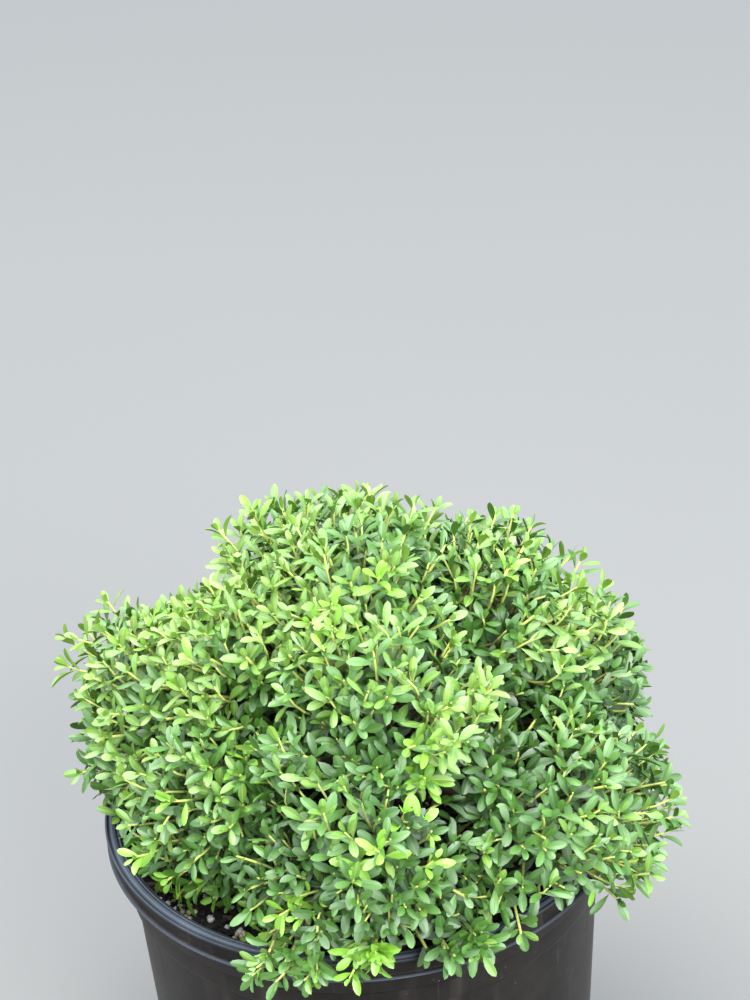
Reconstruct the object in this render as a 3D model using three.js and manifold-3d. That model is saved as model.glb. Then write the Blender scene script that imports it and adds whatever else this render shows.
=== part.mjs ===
import * as THREE from 'three';
import { mergeVertices } from 'three/addons/utils/BufferGeometryUtils.js';
import Module from 'manifold-3d';

// A dwarf japanese holly growing in a round nursery pot, in millimetres with +Z up.
// The origin is the middle of the pot's flat underside, and the front looks along -Y.

const wasm = await Module();
wasm.setup();

// Pot
const lipRadius = 140;
const potHeight = 218;
const baseRadius = 117;
const wall = 2.4;
const lipHeight = 12;
const lipWidth = 10;
const bandHeight = 14;
const bandStep = 2.6;
const wallTaper = 0.06;
const potSides = 40;
const drainHoles = 6;
const drainWidth = 16;
const drainHeight = 19;

// Soil
const soilDepthBelowLip = 22;
const soilMound = 3;

// Stem and boughs
const stemRadius = 7;
const stemFlare = 1.7;
const stemTopRadius = 4.2;
const stemLean = new THREE.Vector3(4, 3, 0);
const boughRadius = 3.3;
const boughTipRadius = 2.4;

// Crown
const heartHeight = 240;
const heartReach = 44;
const seat = 0.3;
const massGap = 1.2;
const coreShare = 0.68;
const coreRelief = 0.1;
const leafLength = 32;
const leafWidth = 14;
const leafThickness = 1.6;
const leafDroop = 0.12;
const leafStep = 4;
const twigRadius = 1.9;
const leavesPerShoot = 5;
const leafApart = 15;
const fewestLeaves = 2;
const overhang = 16;
const hangingCount = 5;
const hangingApart = 0.2;
const goldenAngle = Math.PI * (3 - Math.sqrt(5));

const clearance = 2.5;
const soilTop = potHeight - soilDepthBelowLip;
const innerLipRadius = lipRadius - lipWidth;

// Each ring of foliage: how far from the stem, how high, how large, where it starts,
// and how many directions its shoots try.
const rings = [
  {
    spread: 83, height: 250, size: 84, start: -90, shoots: 62,
    places: ['front', 'front_right', 'right', 'back_right', 'back_left', 'left', 'front_left'],
  },
  {
    spread: 49, height: 288, size: 81, start: -80, shoots: 130,
    places: ['upper_front', 'upper_right', 'upper_back', 'upper_left'],
  },
  { spread: 8, height: 306, size: 79, start: 20, shoots: 110, places: ['top'] },
];

// The crown is fuller on its right and draws in at the front left.
const fullSide = -52;
const fullShare = 0.042;
const thinSide = 218;
const thinShare = 0.14;
const thinWidth = 40;
const crownTilt = 9;
const lowSide = -50;

function degrees(angle) {
  return angle * Math.PI / 180;
}

function seededRandom(seed) {
  let state = seed;
  return () => {
    state = (state * 16807) % 2147483647;
    return state / 2147483647;
  };
}

function toSolid(geometry) {
  const bare = geometry.clone();
  bare.deleteAttribute('normal');
  bare.deleteAttribute('uv');
  const merged = mergeVertices(bare, 1e-4);
  const index = merged.index.array;
  const kept = [];
  for (let i = 0; i < index.length; i += 3) {
    const [a, b, c] = [index[i], index[i + 1], index[i + 2]];
    if (a !== b && b !== c && c !== a) kept.push(a, b, c);
  }
  return new wasm.Manifold(new wasm.Mesh({
    numProp: 3,
    vertProperties: new Float32Array(merged.attributes.position.array),
    triVerts: new Uint32Array(kept),
  }));
}

// The largest outer body of a solid: sealed hollows are filled and loose scraps dropped.
function wholeBody(solid) {
  const parts = solid.decompose();
  return parts.reduce((best, part) => (part.volume() > best.volume() ? part : best));
}

function toMesh(name, solid, colour, roughness) {
  const mesh = wholeBody(solid).getMesh();
  const geometry = new THREE.BufferGeometry();
  geometry.setAttribute('position', new THREE.BufferAttribute(mesh.vertProperties, 3));
  geometry.setIndex(new THREE.BufferAttribute(mesh.triVerts, 1));
  geometry.computeVertexNormals();
  const material = new THREE.MeshStandardMaterial({ color: colour, roughness, metalness: 0 });
  const node = new THREE.Mesh(geometry, material);
  node.name = name;
  return node;
}

// A profile of [radius, height] pairs turned about the Z axis.
function turned(profile) {
  const points = profile.map(([radius, height]) => new THREE.Vector2(radius, height));
  const geometry = new THREE.LatheGeometry(points, potSides);
  geometry.rotateX(Math.PI / 2);
  return toSolid(geometry);
}

function wallRadiusAt(height) {
  return baseRadius + wallTaper * height;
}

const lipFoot = potHeight - lipHeight;
const upperBandFoot = lipFoot - bandHeight;
const lowerBandFoot = upperBandFoot - bandHeight;
const upperBandRadius = wallRadiusAt(lowerBandFoot) + 2 * bandStep;
const lowerBandRadius = wallRadiusAt(lowerBandFoot) + bandStep;

function outerProfile() {
  const corner = 6;
  const wallTop = wallRadiusAt(lowerBandFoot - 2);
  return [
    [0, 0],
    [baseRadius - corner, 0],
    [baseRadius - corner * 0.3, corner * 0.3],
    [wallRadiusAt(corner), corner],
    [wallTop, lowerBandFoot - 2],
    [lowerBandRadius, lowerBandFoot],
    [lowerBandRadius, upperBandFoot - 2],
    [lowerBandRadius - 1, upperBandFoot - 1],
    [upperBandRadius, upperBandFoot + 0.5],
    [upperBandRadius, lipFoot - 2.5],
    [upperBandRadius - 1, lipFoot],
    [lipRadius - 1.5, lipFoot],
    [lipRadius, lipFoot + 2],
    [lipRadius, potHeight - 3],
    [lipRadius - 1.2, potHeight - 0.8],
    [lipRadius - 3.5, potHeight],
  ];
}

function innerProfile() {
  return [
    [innerLipRadius + 1.5, potHeight],
    [innerLipRadius, potHeight - 1.5],
    [upperBandRadius - wall - 1, upperBandFoot],
    [wallRadiusAt(lowerBandFoot) - wall, lowerBandFoot - 2],
    [baseRadius - wall, wall + 5],
    [baseRadius - wall - 5, wall],
    [0, wall],
  ];
}

function drainHole(index) {
  const outline = new THREE.Shape();
  const half = drainWidth / 2;
  outline.moveTo(-half, 0);
  outline.lineTo(half, 0);
  outline.lineTo(half, drainHeight - half);
  outline.absarc(0, drainHeight - half, half, 0, Math.PI, false);
  outline.closePath();
  const geometry = new THREE.ExtrudeGeometry(outline, {
    depth: 30, bevelEnabled: false, curveSegments: 5,
  });
  geometry.rotateX(Math.PI / 2);
  geometry.translate(0, 15, wall + 2);
  geometry.translate(0, -baseRadius, 0);
  geometry.rotateZ(degrees(360 * (index + 0.5) / drainHoles));
  return toSolid(geometry);
}

function buildPot() {
  let body = turned([...outerProfile(), ...innerProfile()]);
  for (let i = 0; i < drainHoles; i += 1) body = body.subtract(drainHole(i));
  return toMesh('pot', body, 0x1d2026, 0.6);
}

// The potting mix fills the pot's inside and rises a little round the stem.
function buildSoil() {
  const inner = innerProfile().filter(([, height]) => height < soilTop && height > wall);
  const top = upperBandRadius - wall - 1 - 2 * seat;
  const profile = [
    [0, wall + seat],
    [baseRadius - wall - 5 - seat, wall + seat],
    ...inner.reverse().map(([radius, height]) => [radius - seat - 0.1, height]),
    [top - 1, soilTop - 2],
    [top - 4, soilTop],
    [top * 0.7, soilTop - 1],
    [top * 0.4, soilTop + soilMound * 0.4],
    [stemRadius * stemFlare + 6, soilTop + soilMound],
    [0, soilTop + soilMound],
  ];
  return toMesh('soil', turned(profile), 0x3a2f27, 0.95);
}

// A round limb that follows a curve, with a radius that changes along it.
function limb(curve, radiusAt, sides, steps) {
  const geometry = new THREE.CylinderGeometry(1, 1, 1, sides, steps);
  const frames = curve.computeFrenetFrames(steps);
  const position = geometry.attributes.position;
  const place = new THREE.Vector3();
  for (let i = 0; i < position.count; i += 1) {
    const step = Math.round((position.getY(i) + 0.5) * steps);
    const radius = radiusAt(step / steps);
    place.copy(curve.getPoint(step / steps));
    place.addScaledVector(frames.binormals[step], position.getX(i) * radius);
    place.addScaledVector(frames.normals[step], position.getZ(i) * radius);
    position.setXYZ(i, place.x, place.y, place.z);
  }
  return toSolid(geometry);
}

const stemFoot = new THREE.Vector3(0, 0, soilTop + soilMound + seat);
const heart = new THREE.Vector3(0, 0, heartHeight).add(stemLean);
const topPlane = heartHeight + heartReach;
const stemTip = new THREE.Vector3(stemLean.x * 2, stemLean.y * 2, topPlane - 4 - seat);
const stemCurve = new THREE.QuadraticBezierCurve3(
  stemFoot,
  new THREE.Vector3(0, 0, heartHeight - 15),
  stemTip,
);

function stemRadiusAt(t) {
  const flare = 1 + (stemFlare - 1) * Math.max(0, 1 - t / 0.22) ** 2;
  return (stemRadius + (stemTopRadius - stemRadius) * t) * flare;
}

function buildStem() {
  return toMesh('stem', limb(stemCurve, stemRadiusAt, 12, 6), 0x6a5a45, 0.85);
}

// How much further or nearer the crown reaches in one direction around the stem.
function fullness(angle) {
  const away = ((angle - thinSide + 540) % 360) - 180;
  const thin = thinShare * Math.exp(-((away / thinWidth) ** 2));
  return 1 + fullShare * Math.cos(degrees(angle - fullSide)) - thin;
}

function layOutMasses() {
  const masses = [];
  rings.forEach((ring, tier) => {
    ring.places.forEach((place, i) => {
      const angle = ring.start + 360 * i / ring.places.length;
      const full = fullness(angle);
      const centre = new THREE.Vector3(
        Math.cos(degrees(angle)) * ring.spread * full,
        Math.sin(degrees(angle)) * ring.spread * full,
        ring.height - crownTilt * Math.cos(degrees(angle - lowSide)) * ring.spread / rings[0].spread,
      ).add(stemLean);
      masses.push({ place, tier, centre, size: ring.size * full, seed: 11 + 7 * masses.length });
    });
  });
  masses.forEach((mass) => boundMass(mass, masses));
  return masses;
}

// The planes that part a mass from its neighbours, from the heart of the crown and from the lip.
function boundMass(mass, masses) {
  mass.planes = [];
  for (const other of masses) {
    if (other === mass) continue;
    const normal = other.centre.clone().sub(mass.centre);
    const apart = normal.length();
    const middle = (apart ** 2 + mass.size ** 2 - other.size ** 2) / (2 * apart);
    mass.planes.push({ normal: normal.divideScalar(apart), distance: middle - massGap / 2 });
  }
  mass.inward = heart.clone().sub(mass.centre);
  const toHeart = mass.inward.length();
  mass.inward.divideScalar(toHeart);
  mass.planes.push({ normal: mass.inward, distance: toHeart - heartReach });
  const floor = new THREE.Vector3(0, 0, -1);
  mass.floor = { normal: floor, distance: mass.centre.z - potHeight - clearance };
}

// How far a mass may reach from its centre along a direction, up to a limit.
function reachAlong(planes, direction, limit) {
  let reach = limit;
  for (const plane of planes) {
    const slope = plane.normal.dot(direction);
    if (slope > 1e-6) reach = Math.min(reach, plane.distance / slope);
  }
  return reach;
}

function insideMass(mass, point, margin) {
  const offset = point.clone().sub(mass.centre);
  return mass.planes.every((plane) => plane.normal.dot(offset) < plane.distance - margin);
}

// Whether a point is clear of the lip, the wall and the soil.
function clearOfPot(point) {
  const radius = Math.hypot(point.x, point.y);
  if (point.z > potHeight + clearance) return true;
  if (radius > lipRadius + clearance) return true;
  return radius < innerLipRadius - 2 * clearance && point.z > soilTop + 4 * clearance;
}

function fitsAlong(mass, from, to, margin) {
  const point = new THREE.Vector3();
  for (let i = 1; i <= 6; i += 1) {
    point.lerpVectors(from, to, i / 6);
    if (!insideMass(mass, point, margin) || !clearOfPot(point)) return false;
  }
  return true;
}

// The core is a rough ball, cut flat where it would pass the edge of its space.
function core(mass) {
  const geometry = new THREE.IcosahedronGeometry(1, 1);
  const position = geometry.attributes.position;
  const direction = new THREE.Vector3();
  const planes = [...mass.planes, mass.floor];
  for (let i = 0; i < position.count; i += 1) {
    direction.fromBufferAttribute(position, i).normalize();
    const wave = Math.sin(direction.x * 9 + mass.seed) * Math.sin(direction.y * 8 + direction.z * 7);
    const reach = reachAlong(planes, direction, mass.size * coreShare * (1 + coreRelief * wave));
    direction.multiplyScalar(reach).add(mass.centre);
    position.setXYZ(i, direction.x, direction.y, direction.z);
  }
  return toSolid(geometry);
}

// The point where a mass's own stem begins, just outside its inner face.
function massFoot(mass) {
  const inner = mass.planes[mass.planes.length - 1];
  return mass.centre.clone().addScaledVector(mass.inward, inner.distance + 3);
}

function massStem(mass) {
  const inside = mass.centre.clone().addScaledVector(mass.inward, mass.size * 0.2);
  const line = new THREE.LineCurve3(massFoot(mass), inside);
  return limb(line, () => boughTipRadius, 8, 1);
}

// A narrow leaf with a keel below, widest past its middle, with its tip bent down.
function leaf(root, along, face) {
  const across = new THREE.Vector3().crossVectors(face, along).normalize();
  const up = new THREE.Vector3().crossVectors(along, across).normalize();
  const place = (length, side, height) => root.clone()
    .addScaledVector(along, length * leafLength)
    .addScaledVector(across, side * leafWidth / 2)
    .addScaledVector(up, height);
  return [
    place(0, 0, -leafThickness / 2),
    place(1, 0, -leafThickness / 2 - leafDroop * leafLength),
    place(0.55, 1, leafThickness / 2),
    place(0.55, -1, leafThickness / 2),
  ];
}

// A four-cornered solid: a tetrahedron whose corners are moved to the given places.
function solidLeaf(corners) {
  const geometry = new THREE.TetrahedronGeometry(Math.sqrt(3));
  const position = geometry.attributes.position;
  for (let i = 0; i < position.count; i += 1) {
    const ahead = position.getX(i) > 0;
    const left = position.getY(i) > 0;
    const corner = corners[ahead ? (left ? 0 : 3) : (left ? 2 : 1)];
    position.setXYZ(i, corner.x, corner.y, corner.z);
  }
  return toSolid(geometry);
}

function leafFits(mass, corners) {
  const middle = corners[0].clone().lerp(corners[1], 0.6);
  if (mass.leafMiddles.some((other) => other.distanceTo(middle) < leafApart)) return false;
  const [root, tip, left, right] = corners;
  const edges = [[root, tip], [root, left], [left, tip], [tip, right], [right, root]];
  return edges.every(([from, to]) => fitsAlong(mass, from, to, 0.2));
}

// Leaves stand round a shoot in a spiral. One that would leave the mass's space or crowd
// another is turned on by a quarter, and skipped if that doesn't help.
function leavesOn(mass, tip, axis, length, random) {
  const side = new THREE.Vector3(0.3, 0.2, 1).cross(axis).normalize();
  const leaves = [];
  for (let i = 0; i < leavesPerShoot; i += 1) {
    const back = Math.min(2 + leafStep * i, length - 3);
    const root = tip.clone().addScaledVector(axis, -back);
    const turn = i * goldenAngle + random() * 0.6;
    const spread = degrees(50 + 28 * i / leavesPerShoot + 10 * random());
    for (let quarter = 0; quarter < 4; quarter += 1) {
      const outward = side.clone().applyAxisAngle(axis, turn + quarter * Math.PI / 2);
      const along = axis.clone().multiplyScalar(Math.cos(spread));
      along.addScaledVector(outward, Math.sin(spread));
      const corners = leaf(root, along, axis);
      if (leafFits(mass, corners)) {
        leaves.push(solidLeaf(corners));
        mass.leafMiddles.push(corners[0].clone().lerp(corners[1], 0.6));
        break;
      }
    }
  }
  return leaves;
}

// Shoots leave the middle of a mass in a golden spiral of directions, wherever there is room.
function shootsOf(mass, random) {
  const outward = mass.inward.clone().negate();
  const turn = new THREE.Quaternion().setFromUnitVectors(new THREE.Vector3(0, 0, 1), outward);
  const shoots = [];
  const count = rings[mass.tier].shoots;
  for (let i = 0; i < count; i += 1) {
    const height = 1 - (2 * i + 1) / count;
    const across = Math.sqrt(1 - height * height);
    const angle = i * goldenAngle + mass.seed;
    const direction = new THREE.Vector3(Math.cos(angle) * across, Math.sin(angle) * across, height);
    direction.applyQuaternion(turn);
    const length = mass.size * (0.86 + 0.12 * random());
    const reach = reachAlong(mass.planes, direction, length + 2) - 2;
    if (reach < mass.size * coreShare + 3) continue;
    const from = mass.centre.clone().addScaledVector(direction, mass.size * 0.45);
    const tip = mass.centre.clone().addScaledVector(direction, reach);
    if (fitsAlong(mass, from, tip, twigRadius)) shoots.push(new THREE.LineCurve3(from, tip));
  }
  return shoots;
}

// Where the crown overhangs the lip, some shoots hang down outside it.
function hangingShoots(mass, random) {
  const spread = Math.hypot(mass.centre.x, mass.centre.y);
  if (mass.centre.z > heartHeight + mass.size / 2 || spread + mass.size < lipRadius + overhang) {
    return [];
  }
  const middle = Math.atan2(mass.centre.y, mass.centre.x);
  const shoots = [];
  for (let i = 0; i < hangingCount; i += 1) {
    const angle = middle + (i - (hangingCount - 1) / 2) * hangingApart + (random() - 0.5) * 0.1;
    const at = (radius, height) => new THREE.Vector3(
      Math.cos(angle) * radius,
      Math.sin(angle) * radius,
      height,
    );
    const curve = new THREE.QuadraticBezierCurve3(
      at(spread + mass.size * 0.3, potHeight + 14),
      at(lipRadius + 8, potHeight + 16),
      at(lipRadius + 11, potHeight - 8 - 14 * random()),
    );
    if (curve.getPoints(6).every((p) => insideMass(mass, p, twigRadius) && clearOfPot(p))) {
      shoots.push(curve);
    }
  }
  return shoots;
}

function buildMass(mass) {
  const random = seededRandom(mass.seed);
  let body = core(mass).add(massStem(mass));
  mass.leafMiddles = [];
  for (const curve of [...shootsOf(mass, random), ...hangingShoots(mass, random)]) {
    const blades = leavesOn(mass, curve.getPoint(1), curve.getTangent(1), curve.getLength(), random);
    if (blades.length < fewestLeaves) continue;
    const steps = curve.isLineCurve3 ? 1 : 2;
    body = body.add(limb(curve, (t) => twigRadius * (1.2 - 0.4 * t), 3, steps));
    for (const blade of blades) body = body.add(blade);
  }
  return toMesh(`foliage_${mass.place}`, body, 0x4f8a3c, 0.5);
}

// A bough leaves the stem square to it and bends to meet the foot of its mass.
function buildBough(mass, index) {
  const end = massFoot(mass).addScaledVector(mass.inward, seat);
  const height = mass.tier === 0 ? 0.28 + 0.11 * (index % 3) : 0.64 + 0.09 * (index % 2);
  const root = stemCurve.getPoint(height);
  const tangent = stemCurve.getTangent(height);
  const out = end.clone().sub(root);
  out.addScaledVector(tangent, -out.dot(tangent)).normalize();
  const start = root.clone().addScaledVector(out, stemRadiusAt(height) + seat);
  const bend = start.clone().addScaledVector(out, start.distanceTo(end) * 0.35);
  const curve = new THREE.CubicBezierCurve3(
    start,
    bend,
    end.clone().addScaledVector(mass.inward, start.distanceTo(end) * 0.35),
    end,
  );
  const radius = (t) => boughRadius + (boughTipRadius - boughRadius) * t;
  return toMesh(`bough_${mass.place}`, limb(curve, radius, 6, 4), 0x6f6048, 0.85);
}

const plant = new THREE.Group();
plant.add(buildPot(), buildSoil(), buildStem());
const masses = layOutMasses();
masses.forEach((mass, index) => {
  plant.add(buildMass(mass));
  if (mass.place !== 'top') plant.add(buildBough(mass, index));
});

export default plant;
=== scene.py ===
"""The looks of a dwarf japanese holly in its nursery pot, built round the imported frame, in metres."""

import functools
import math

import bmesh
import bpy
import numpy as np
from bpy.props import FloatProperty, FloatVectorProperty, IntProperty, PointerProperty
from mathutils import Matrix, Quaternion, Vector, noise


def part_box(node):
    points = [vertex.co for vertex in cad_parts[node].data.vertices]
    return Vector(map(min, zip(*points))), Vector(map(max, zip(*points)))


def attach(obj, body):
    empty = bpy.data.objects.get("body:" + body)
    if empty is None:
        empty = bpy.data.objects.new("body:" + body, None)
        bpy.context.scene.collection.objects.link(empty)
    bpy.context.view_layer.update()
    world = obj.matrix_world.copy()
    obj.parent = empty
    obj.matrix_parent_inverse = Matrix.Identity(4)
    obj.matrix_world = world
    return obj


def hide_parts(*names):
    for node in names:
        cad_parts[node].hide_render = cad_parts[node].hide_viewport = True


bl_info = {
    "name": "Potted Japanese Holly",
    "version": (1, 0, 0),
    "blender": (4, 5, 0),
    "location": "3D View > Sidebar > Holly",
    "description": "Builds a potted japanese holly: pot, potting mix, limbs, twigs and leaves",
    "category": "Add Mesh",
}

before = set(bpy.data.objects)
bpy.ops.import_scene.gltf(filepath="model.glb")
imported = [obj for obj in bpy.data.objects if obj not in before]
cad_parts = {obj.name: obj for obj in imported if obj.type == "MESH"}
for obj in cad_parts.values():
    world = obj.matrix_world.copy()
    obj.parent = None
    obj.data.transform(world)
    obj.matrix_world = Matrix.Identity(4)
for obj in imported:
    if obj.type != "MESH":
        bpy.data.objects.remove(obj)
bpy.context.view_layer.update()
BODY = "root"
MM = 0.001
UP = np.array([0, 0, 1.0])

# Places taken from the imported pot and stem
POT_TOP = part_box("pot")[1].z
LIP_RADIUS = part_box("pot")[1].x
STEM_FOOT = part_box("stem")[0].z

# Pot, as in the source
BASE_RADIUS = 117 * MM
BASE_CORNER = 6 * MM
WALL_TAPER = 0.06
WALL = 2.4 * MM
LIP_HEIGHT = 12 * MM
BAND_HEIGHT = 14 * MM
BAND_STEP = 2.6 * MM
INNER_LIP_RADIUS = LIP_RADIUS - 10 * MM
DRAIN_HOLES = 6
DRAIN_WIDTH = 16 * MM
DRAIN_HEIGHT = 19 * MM
DRAIN_FOOT = WALL + 2 * MM
SOIL_TOP = POT_TOP - 22 * MM
SOIL_MOUND = 3 * MM
CLEARANCE = 2.5 * MM

# The scene's own: the hollow of the pot's underside, and the raised edges of the drain holes
BASE_HOLLOW = 1.2 * MM
FRAME_WIDTH = 2 * MM
FRAME_PROUD = 0.9 * MM
FRAME_SUNK = 0.4 * MM
FRAME_BEVEL = 0.2 * MM

# Stem and boughs, as in the source
STEM_RADIUS = 7 * MM
STEM_FLARE = 1.7
STEM_TOP_RADIUS = 4.2 * MM
STEM_LEAN = np.array([4, 3, 0]) * MM
BOUGH_RADIUS = 3.3 * MM
BOUGH_TIP_RADIUS = 2.4 * MM
SEAT = 0.3 * MM

# Crown, as in the source
HEART_HEIGHT = 240 * MM
HEART_REACH = 44 * MM
HEART = np.array([0, 0, HEART_HEIGHT]) + STEM_LEAN
MASS_GAP = 1.2 * MM
CORE_SHARE = 0.68
TWIG_RADIUS = 1.9 * MM
FOOT_OUT = 3 * MM
STEM_END_SHARE = 0.2
GOLDEN_ANGLE = math.pi * (3 - math.sqrt(5))
FULL_SIDE = -52
FULL_SHARE = 0.042
THIN_SIDE = 218
THIN_SHARE = 0.14
THIN_WIDTH = 40
CROWN_TILT = 9 * MM
LOW_SIDE = -50
OVERHANG = 16 * MM
HANGING_COUNT = 5
HANGING_APART = 0.2
RINGS = (
    {"spread": 83 * MM, "height": 250 * MM, "size": 84 * MM, "start": -90, "shoots": 62,
     "places": ("front", "front_right", "right", "back_right", "back_left", "left", "front_left")},
    {"spread": 49 * MM, "height": 288 * MM, "size": 81 * MM, "start": -80, "shoots": 130,
     "places": ("upper_front", "upper_right", "upper_back", "upper_left")},
    {"spread": 8 * MM, "height": 306 * MM, "size": 79 * MM, "start": 20, "shoots": 110,
     "places": ("top",)},
)

# Where the crown stands out or falls back: turn round the heart and rise above it in degrees, the
# width that it spreads over in degrees, and how far in millimetres
SHOULDERS = {
    "left shoulder": (164, 23, 17, 14),
    "hollow over the left shoulder": (127, 28, 14, -29),
    "notch beside the top": (147, 38, 9, -19),
    "left of the top": (130, 54, 9, 15),
    "right shoulder": (22, 32, 15, 6),
    "back of the top": (38, 46, 14, 10),
    "left flank": (188, -8, 15, -12),
    "right flank": (1, 6, 17, -13),
    "right skirt": (332, -1, 12, 8),
    "low front left": (209, -7, 11, 10),
    "bare front left edge": (232, -8, 14, -21),
    "bare front right edge": (322, -14, 10, -12),
    "spray on the top": (84, 60, 5, 9),
    "dip left of that spray": (97, 56, 4, -9),
    "dip right of that spray": (70, 55, 4, -7),
    "spray left of the top": (110, 54, 4, 6),
    "dip behind the top": (52, 49, 4, -7),
    "spray right of the top": (40, 45, 4.5, 5),
    "spray on the right shoulder": (26, 36, 4.5, 8),
    "spray under that": (17, 27, 4, 6),
}
# Dark hollows between the boughs' foliage, each a chain of spots by turn and rise in degrees
HOLLOWS = {
    "under the top on the left": ((227, 44), (248, 45), (262, 42), (274, 42)),
    "down the right of the top": ((357, 69), (344, 59), (333, 51), (331, 41), (325, 34)),
    "over the middle": ((306, 53),),
    "right of the middle": ((313, 28),),
    "low in the middle": ((292, 23),),
    "low on the left": ((248, 22), (256, 15)),
    "behind on the right": ((38, 24), (50, 32), (64, 36)),
    "behind on the left": ((112, 26), (98, 18)),
}
HOLLOW_WIDTH = 7.5
HOLLOW_DEPTH = 32 * MM
HOLLOW_BARE = 0.5
# How much darker the leaves' tones are in the hollows: partly older leaves, partly painted shade
HOLLOW_AGE_AND_SHADE = 2.1
# How much paler the tones are of shoots that stand out of the crown than of those that lie back in it:
# partly younger growth, partly painted light
PROUD_YOUTH_AND_LIGHT = 4.5
# Shoots just opened, and pale spots whose paler tones are partly shoots still pale and partly painted
# light, by turn and rise in degrees
LIME_SPOTS = ((216, 3), (225, 19), (282, 27), (286, 13), (270, 20), (195, 23), (254, 6), (268, -2))
PALE_SPOTS = ((310, 43), (218, 59), (180, 39), (284, 47), (255, 70))
PALE_YOUTH_AND_LIGHT = 1.6
SPOT_WIDTH = 5
# Turns, in degrees, of the shoots that hang over the front of the lip in three sprays, and the
# stretch of the lip beside them that nothing hangs over
FRONT_SPRAYS = (-110, -106, -102, -92, -89, -74, -71, -68, -65)
OPEN_EDGE = (165, 385)
# The stretch where only hanging shoots cross the lip, and how steeply the crown rises outside it
FRONT_EDGE = (228, 322)
FRONT_RISE = 0.6
FRONT_REACH = -8 * MM

# The photograph's camera
CAMERA_PLACE = Vector((0.0184, -1.3176, 1.2069))
CAMERA_PITCH = math.radians(31.3)
CAMERA_ROLL = math.radians(-3.87)
FOCAL_PIXELS = 3010
PHOTO_HEIGHT = 1000
SENSOR = 36


def linear(red, green, blue):
    """A colour given as seen on a screen, 0 to 255, in the renderer's linear values."""
    shares = [part / 255 for part in (red, green, blue)]
    return tuple(s / 12.92 if s <= 0.04045 else ((s + 0.055) / 1.055) ** 2.4 for s in shares)


def unit(vectors):
    """Vectors along the last axis, each made one long."""
    return vectors / np.maximum(np.linalg.norm(vectors, axis=-1, keepdims=True), 1e-12)


# Shader maths


def math_node(operation, reflected=False):
    """One of Python's operators on signals: it adds a Math node."""
    def operator(self, other=None):
        first, second = (other, self) if reflected else (self, other)
        inputs = {0: first} if second is None else {0: first, 1: second}
        return self.nodes.add("ShaderNodeMath", {"operation": operation}, inputs)
    return operator


class Signal:
    """A shader socket that Python's own operators work on."""

    __add__ = math_node("ADD")
    __radd__ = math_node("ADD", reflected=True)
    __sub__ = math_node("SUBTRACT")
    __rsub__ = math_node("SUBTRACT", reflected=True)
    __mul__ = math_node("MULTIPLY")
    __rmul__ = math_node("MULTIPLY", reflected=True)
    __pow__ = math_node("POWER")
    __abs__ = math_node("ABSOLUTE")

    def __init__(self, nodes, socket):
        self.nodes = nodes
        self.socket = socket


class Nodes:
    """A node tree with its surface or background, its nodes all made by one method."""

    def __init__(self, tree, surface):
        self.tree = tree
        self.surface = tree.nodes[surface]

    def add(self, kind, settings=None, inputs=None, output=0):
        """A node of a kind: settings first, then its sockets, as values or signals."""
        node = self.tree.nodes.new(kind)
        for name, value in (settings or {}).items():
            setattr(node, name, value)
        for name, value in (inputs or {}).items():
            self.feed(node.inputs[name], value)
        return Signal(self, node.outputs[output])

    def feed(self, socket, value):
        if isinstance(value, Signal):
            self.tree.links.new(value.socket, socket)
        elif socket.type == "RGBA":
            socket.default_value = (*value, 1)
        else:
            socket.default_value = value

    def set(self, name, value):
        self.feed(self.surface.inputs[name], value)

    def blend(self, share, first, second):
        """A colour between two, by a share."""
        inputs = {0: share, 6: first, 7: second}
        return self.add("ShaderNodeMix", {"data_type": "RGBA"}, inputs, output=2)


class Shader(Nodes):
    """A material and its nodes."""

    def __init__(self, name, roughness, colour=None):
        self.material = bpy.data.materials.new(name)
        self.material.use_nodes = True
        super().__init__(self.material.node_tree, "Principled BSDF")
        self.set("Roughness", roughness)
        if colour is not None:
            self.set("Base Color", colour)
            self.material.diffuse_color = (*colour, 1)

    def place(self, scale=(1, 1, 1)):
        """Object coordinates, stretched."""
        where = self.add("ShaderNodeTexCoord", output="Object")
        return self.add("ShaderNodeMapping", None, {"Vector": where, "Scale": scale})

    def noise(self, scale, detail=3, stretch=(1, 1, 1), roughness=0.5):
        inputs = {"Vector": self.place(stretch), "Scale": scale, "Detail": detail, "Roughness": roughness}
        return self.add("ShaderNodeTexNoise", None, inputs)

    def cells(self, scale, stretch=(1, 1, 1)):
        """The distance to the nearest of many scattered points."""
        return self.add("ShaderNodeTexVoronoi", None, {"Vector": self.place(stretch), "Scale": scale})

    def ramp(self, signal, low, high):
        """The signal's stretch from low to high, as 0 to 1."""
        inputs = {"Value": signal, "From Min": low, "From Max": high}
        return self.add("ShaderNodeMapRange", {"interpolation_type": "SMOOTHSTEP"}, inputs)

    def relief(self, height, depth):
        inputs = {"Height": height, "Distance": depth, "Strength": 1.0}
        self.set("Normal", self.add("ShaderNodeBump", None, inputs))


def plain(name, roughness, red, green, blue):
    """A material of one colour, given as seen on a screen."""
    return Shader(name, roughness, linear(red, green, blue)).material


def paler(colour, times, more=0.0):
    """A colour some times as bright."""
    return tuple(min(1, part * times + more) for part in colour)


# Mesh helpers


def in_scene(name, data):
    """An object of the scene that holds a mesh, a lamp or a camera."""
    thing = bpy.data.objects.new(name, data)
    bpy.context.scene.collection.objects.link(thing)
    return thing


def finish_piece(name, mesh, materials, nodes):
    """Puts a mesh in the scene as a piece that rides on the plant's body and stands for CAD nodes."""
    for material in materials:
        mesh.materials.append(material)
    piece = in_scene(name, mesh)
    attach(piece, BODY)
    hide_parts(*nodes)


def smoothed(mesh, sharp_angle):
    """The mesh, smooth but for the edges that turn more than an angle, if one is given."""
    mesh.shade_smooth()
    if sharp_angle is not None:
        mesh.set_sharp_from_angle(angle=math.radians(sharp_angle))
    return mesh


def mesh_of(bm, name, sharp_angle=None):
    mesh = bpy.data.meshes.new(name)
    bm.to_mesh(mesh)
    bm.free()
    return smoothed(mesh, sharp_angle)


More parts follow.
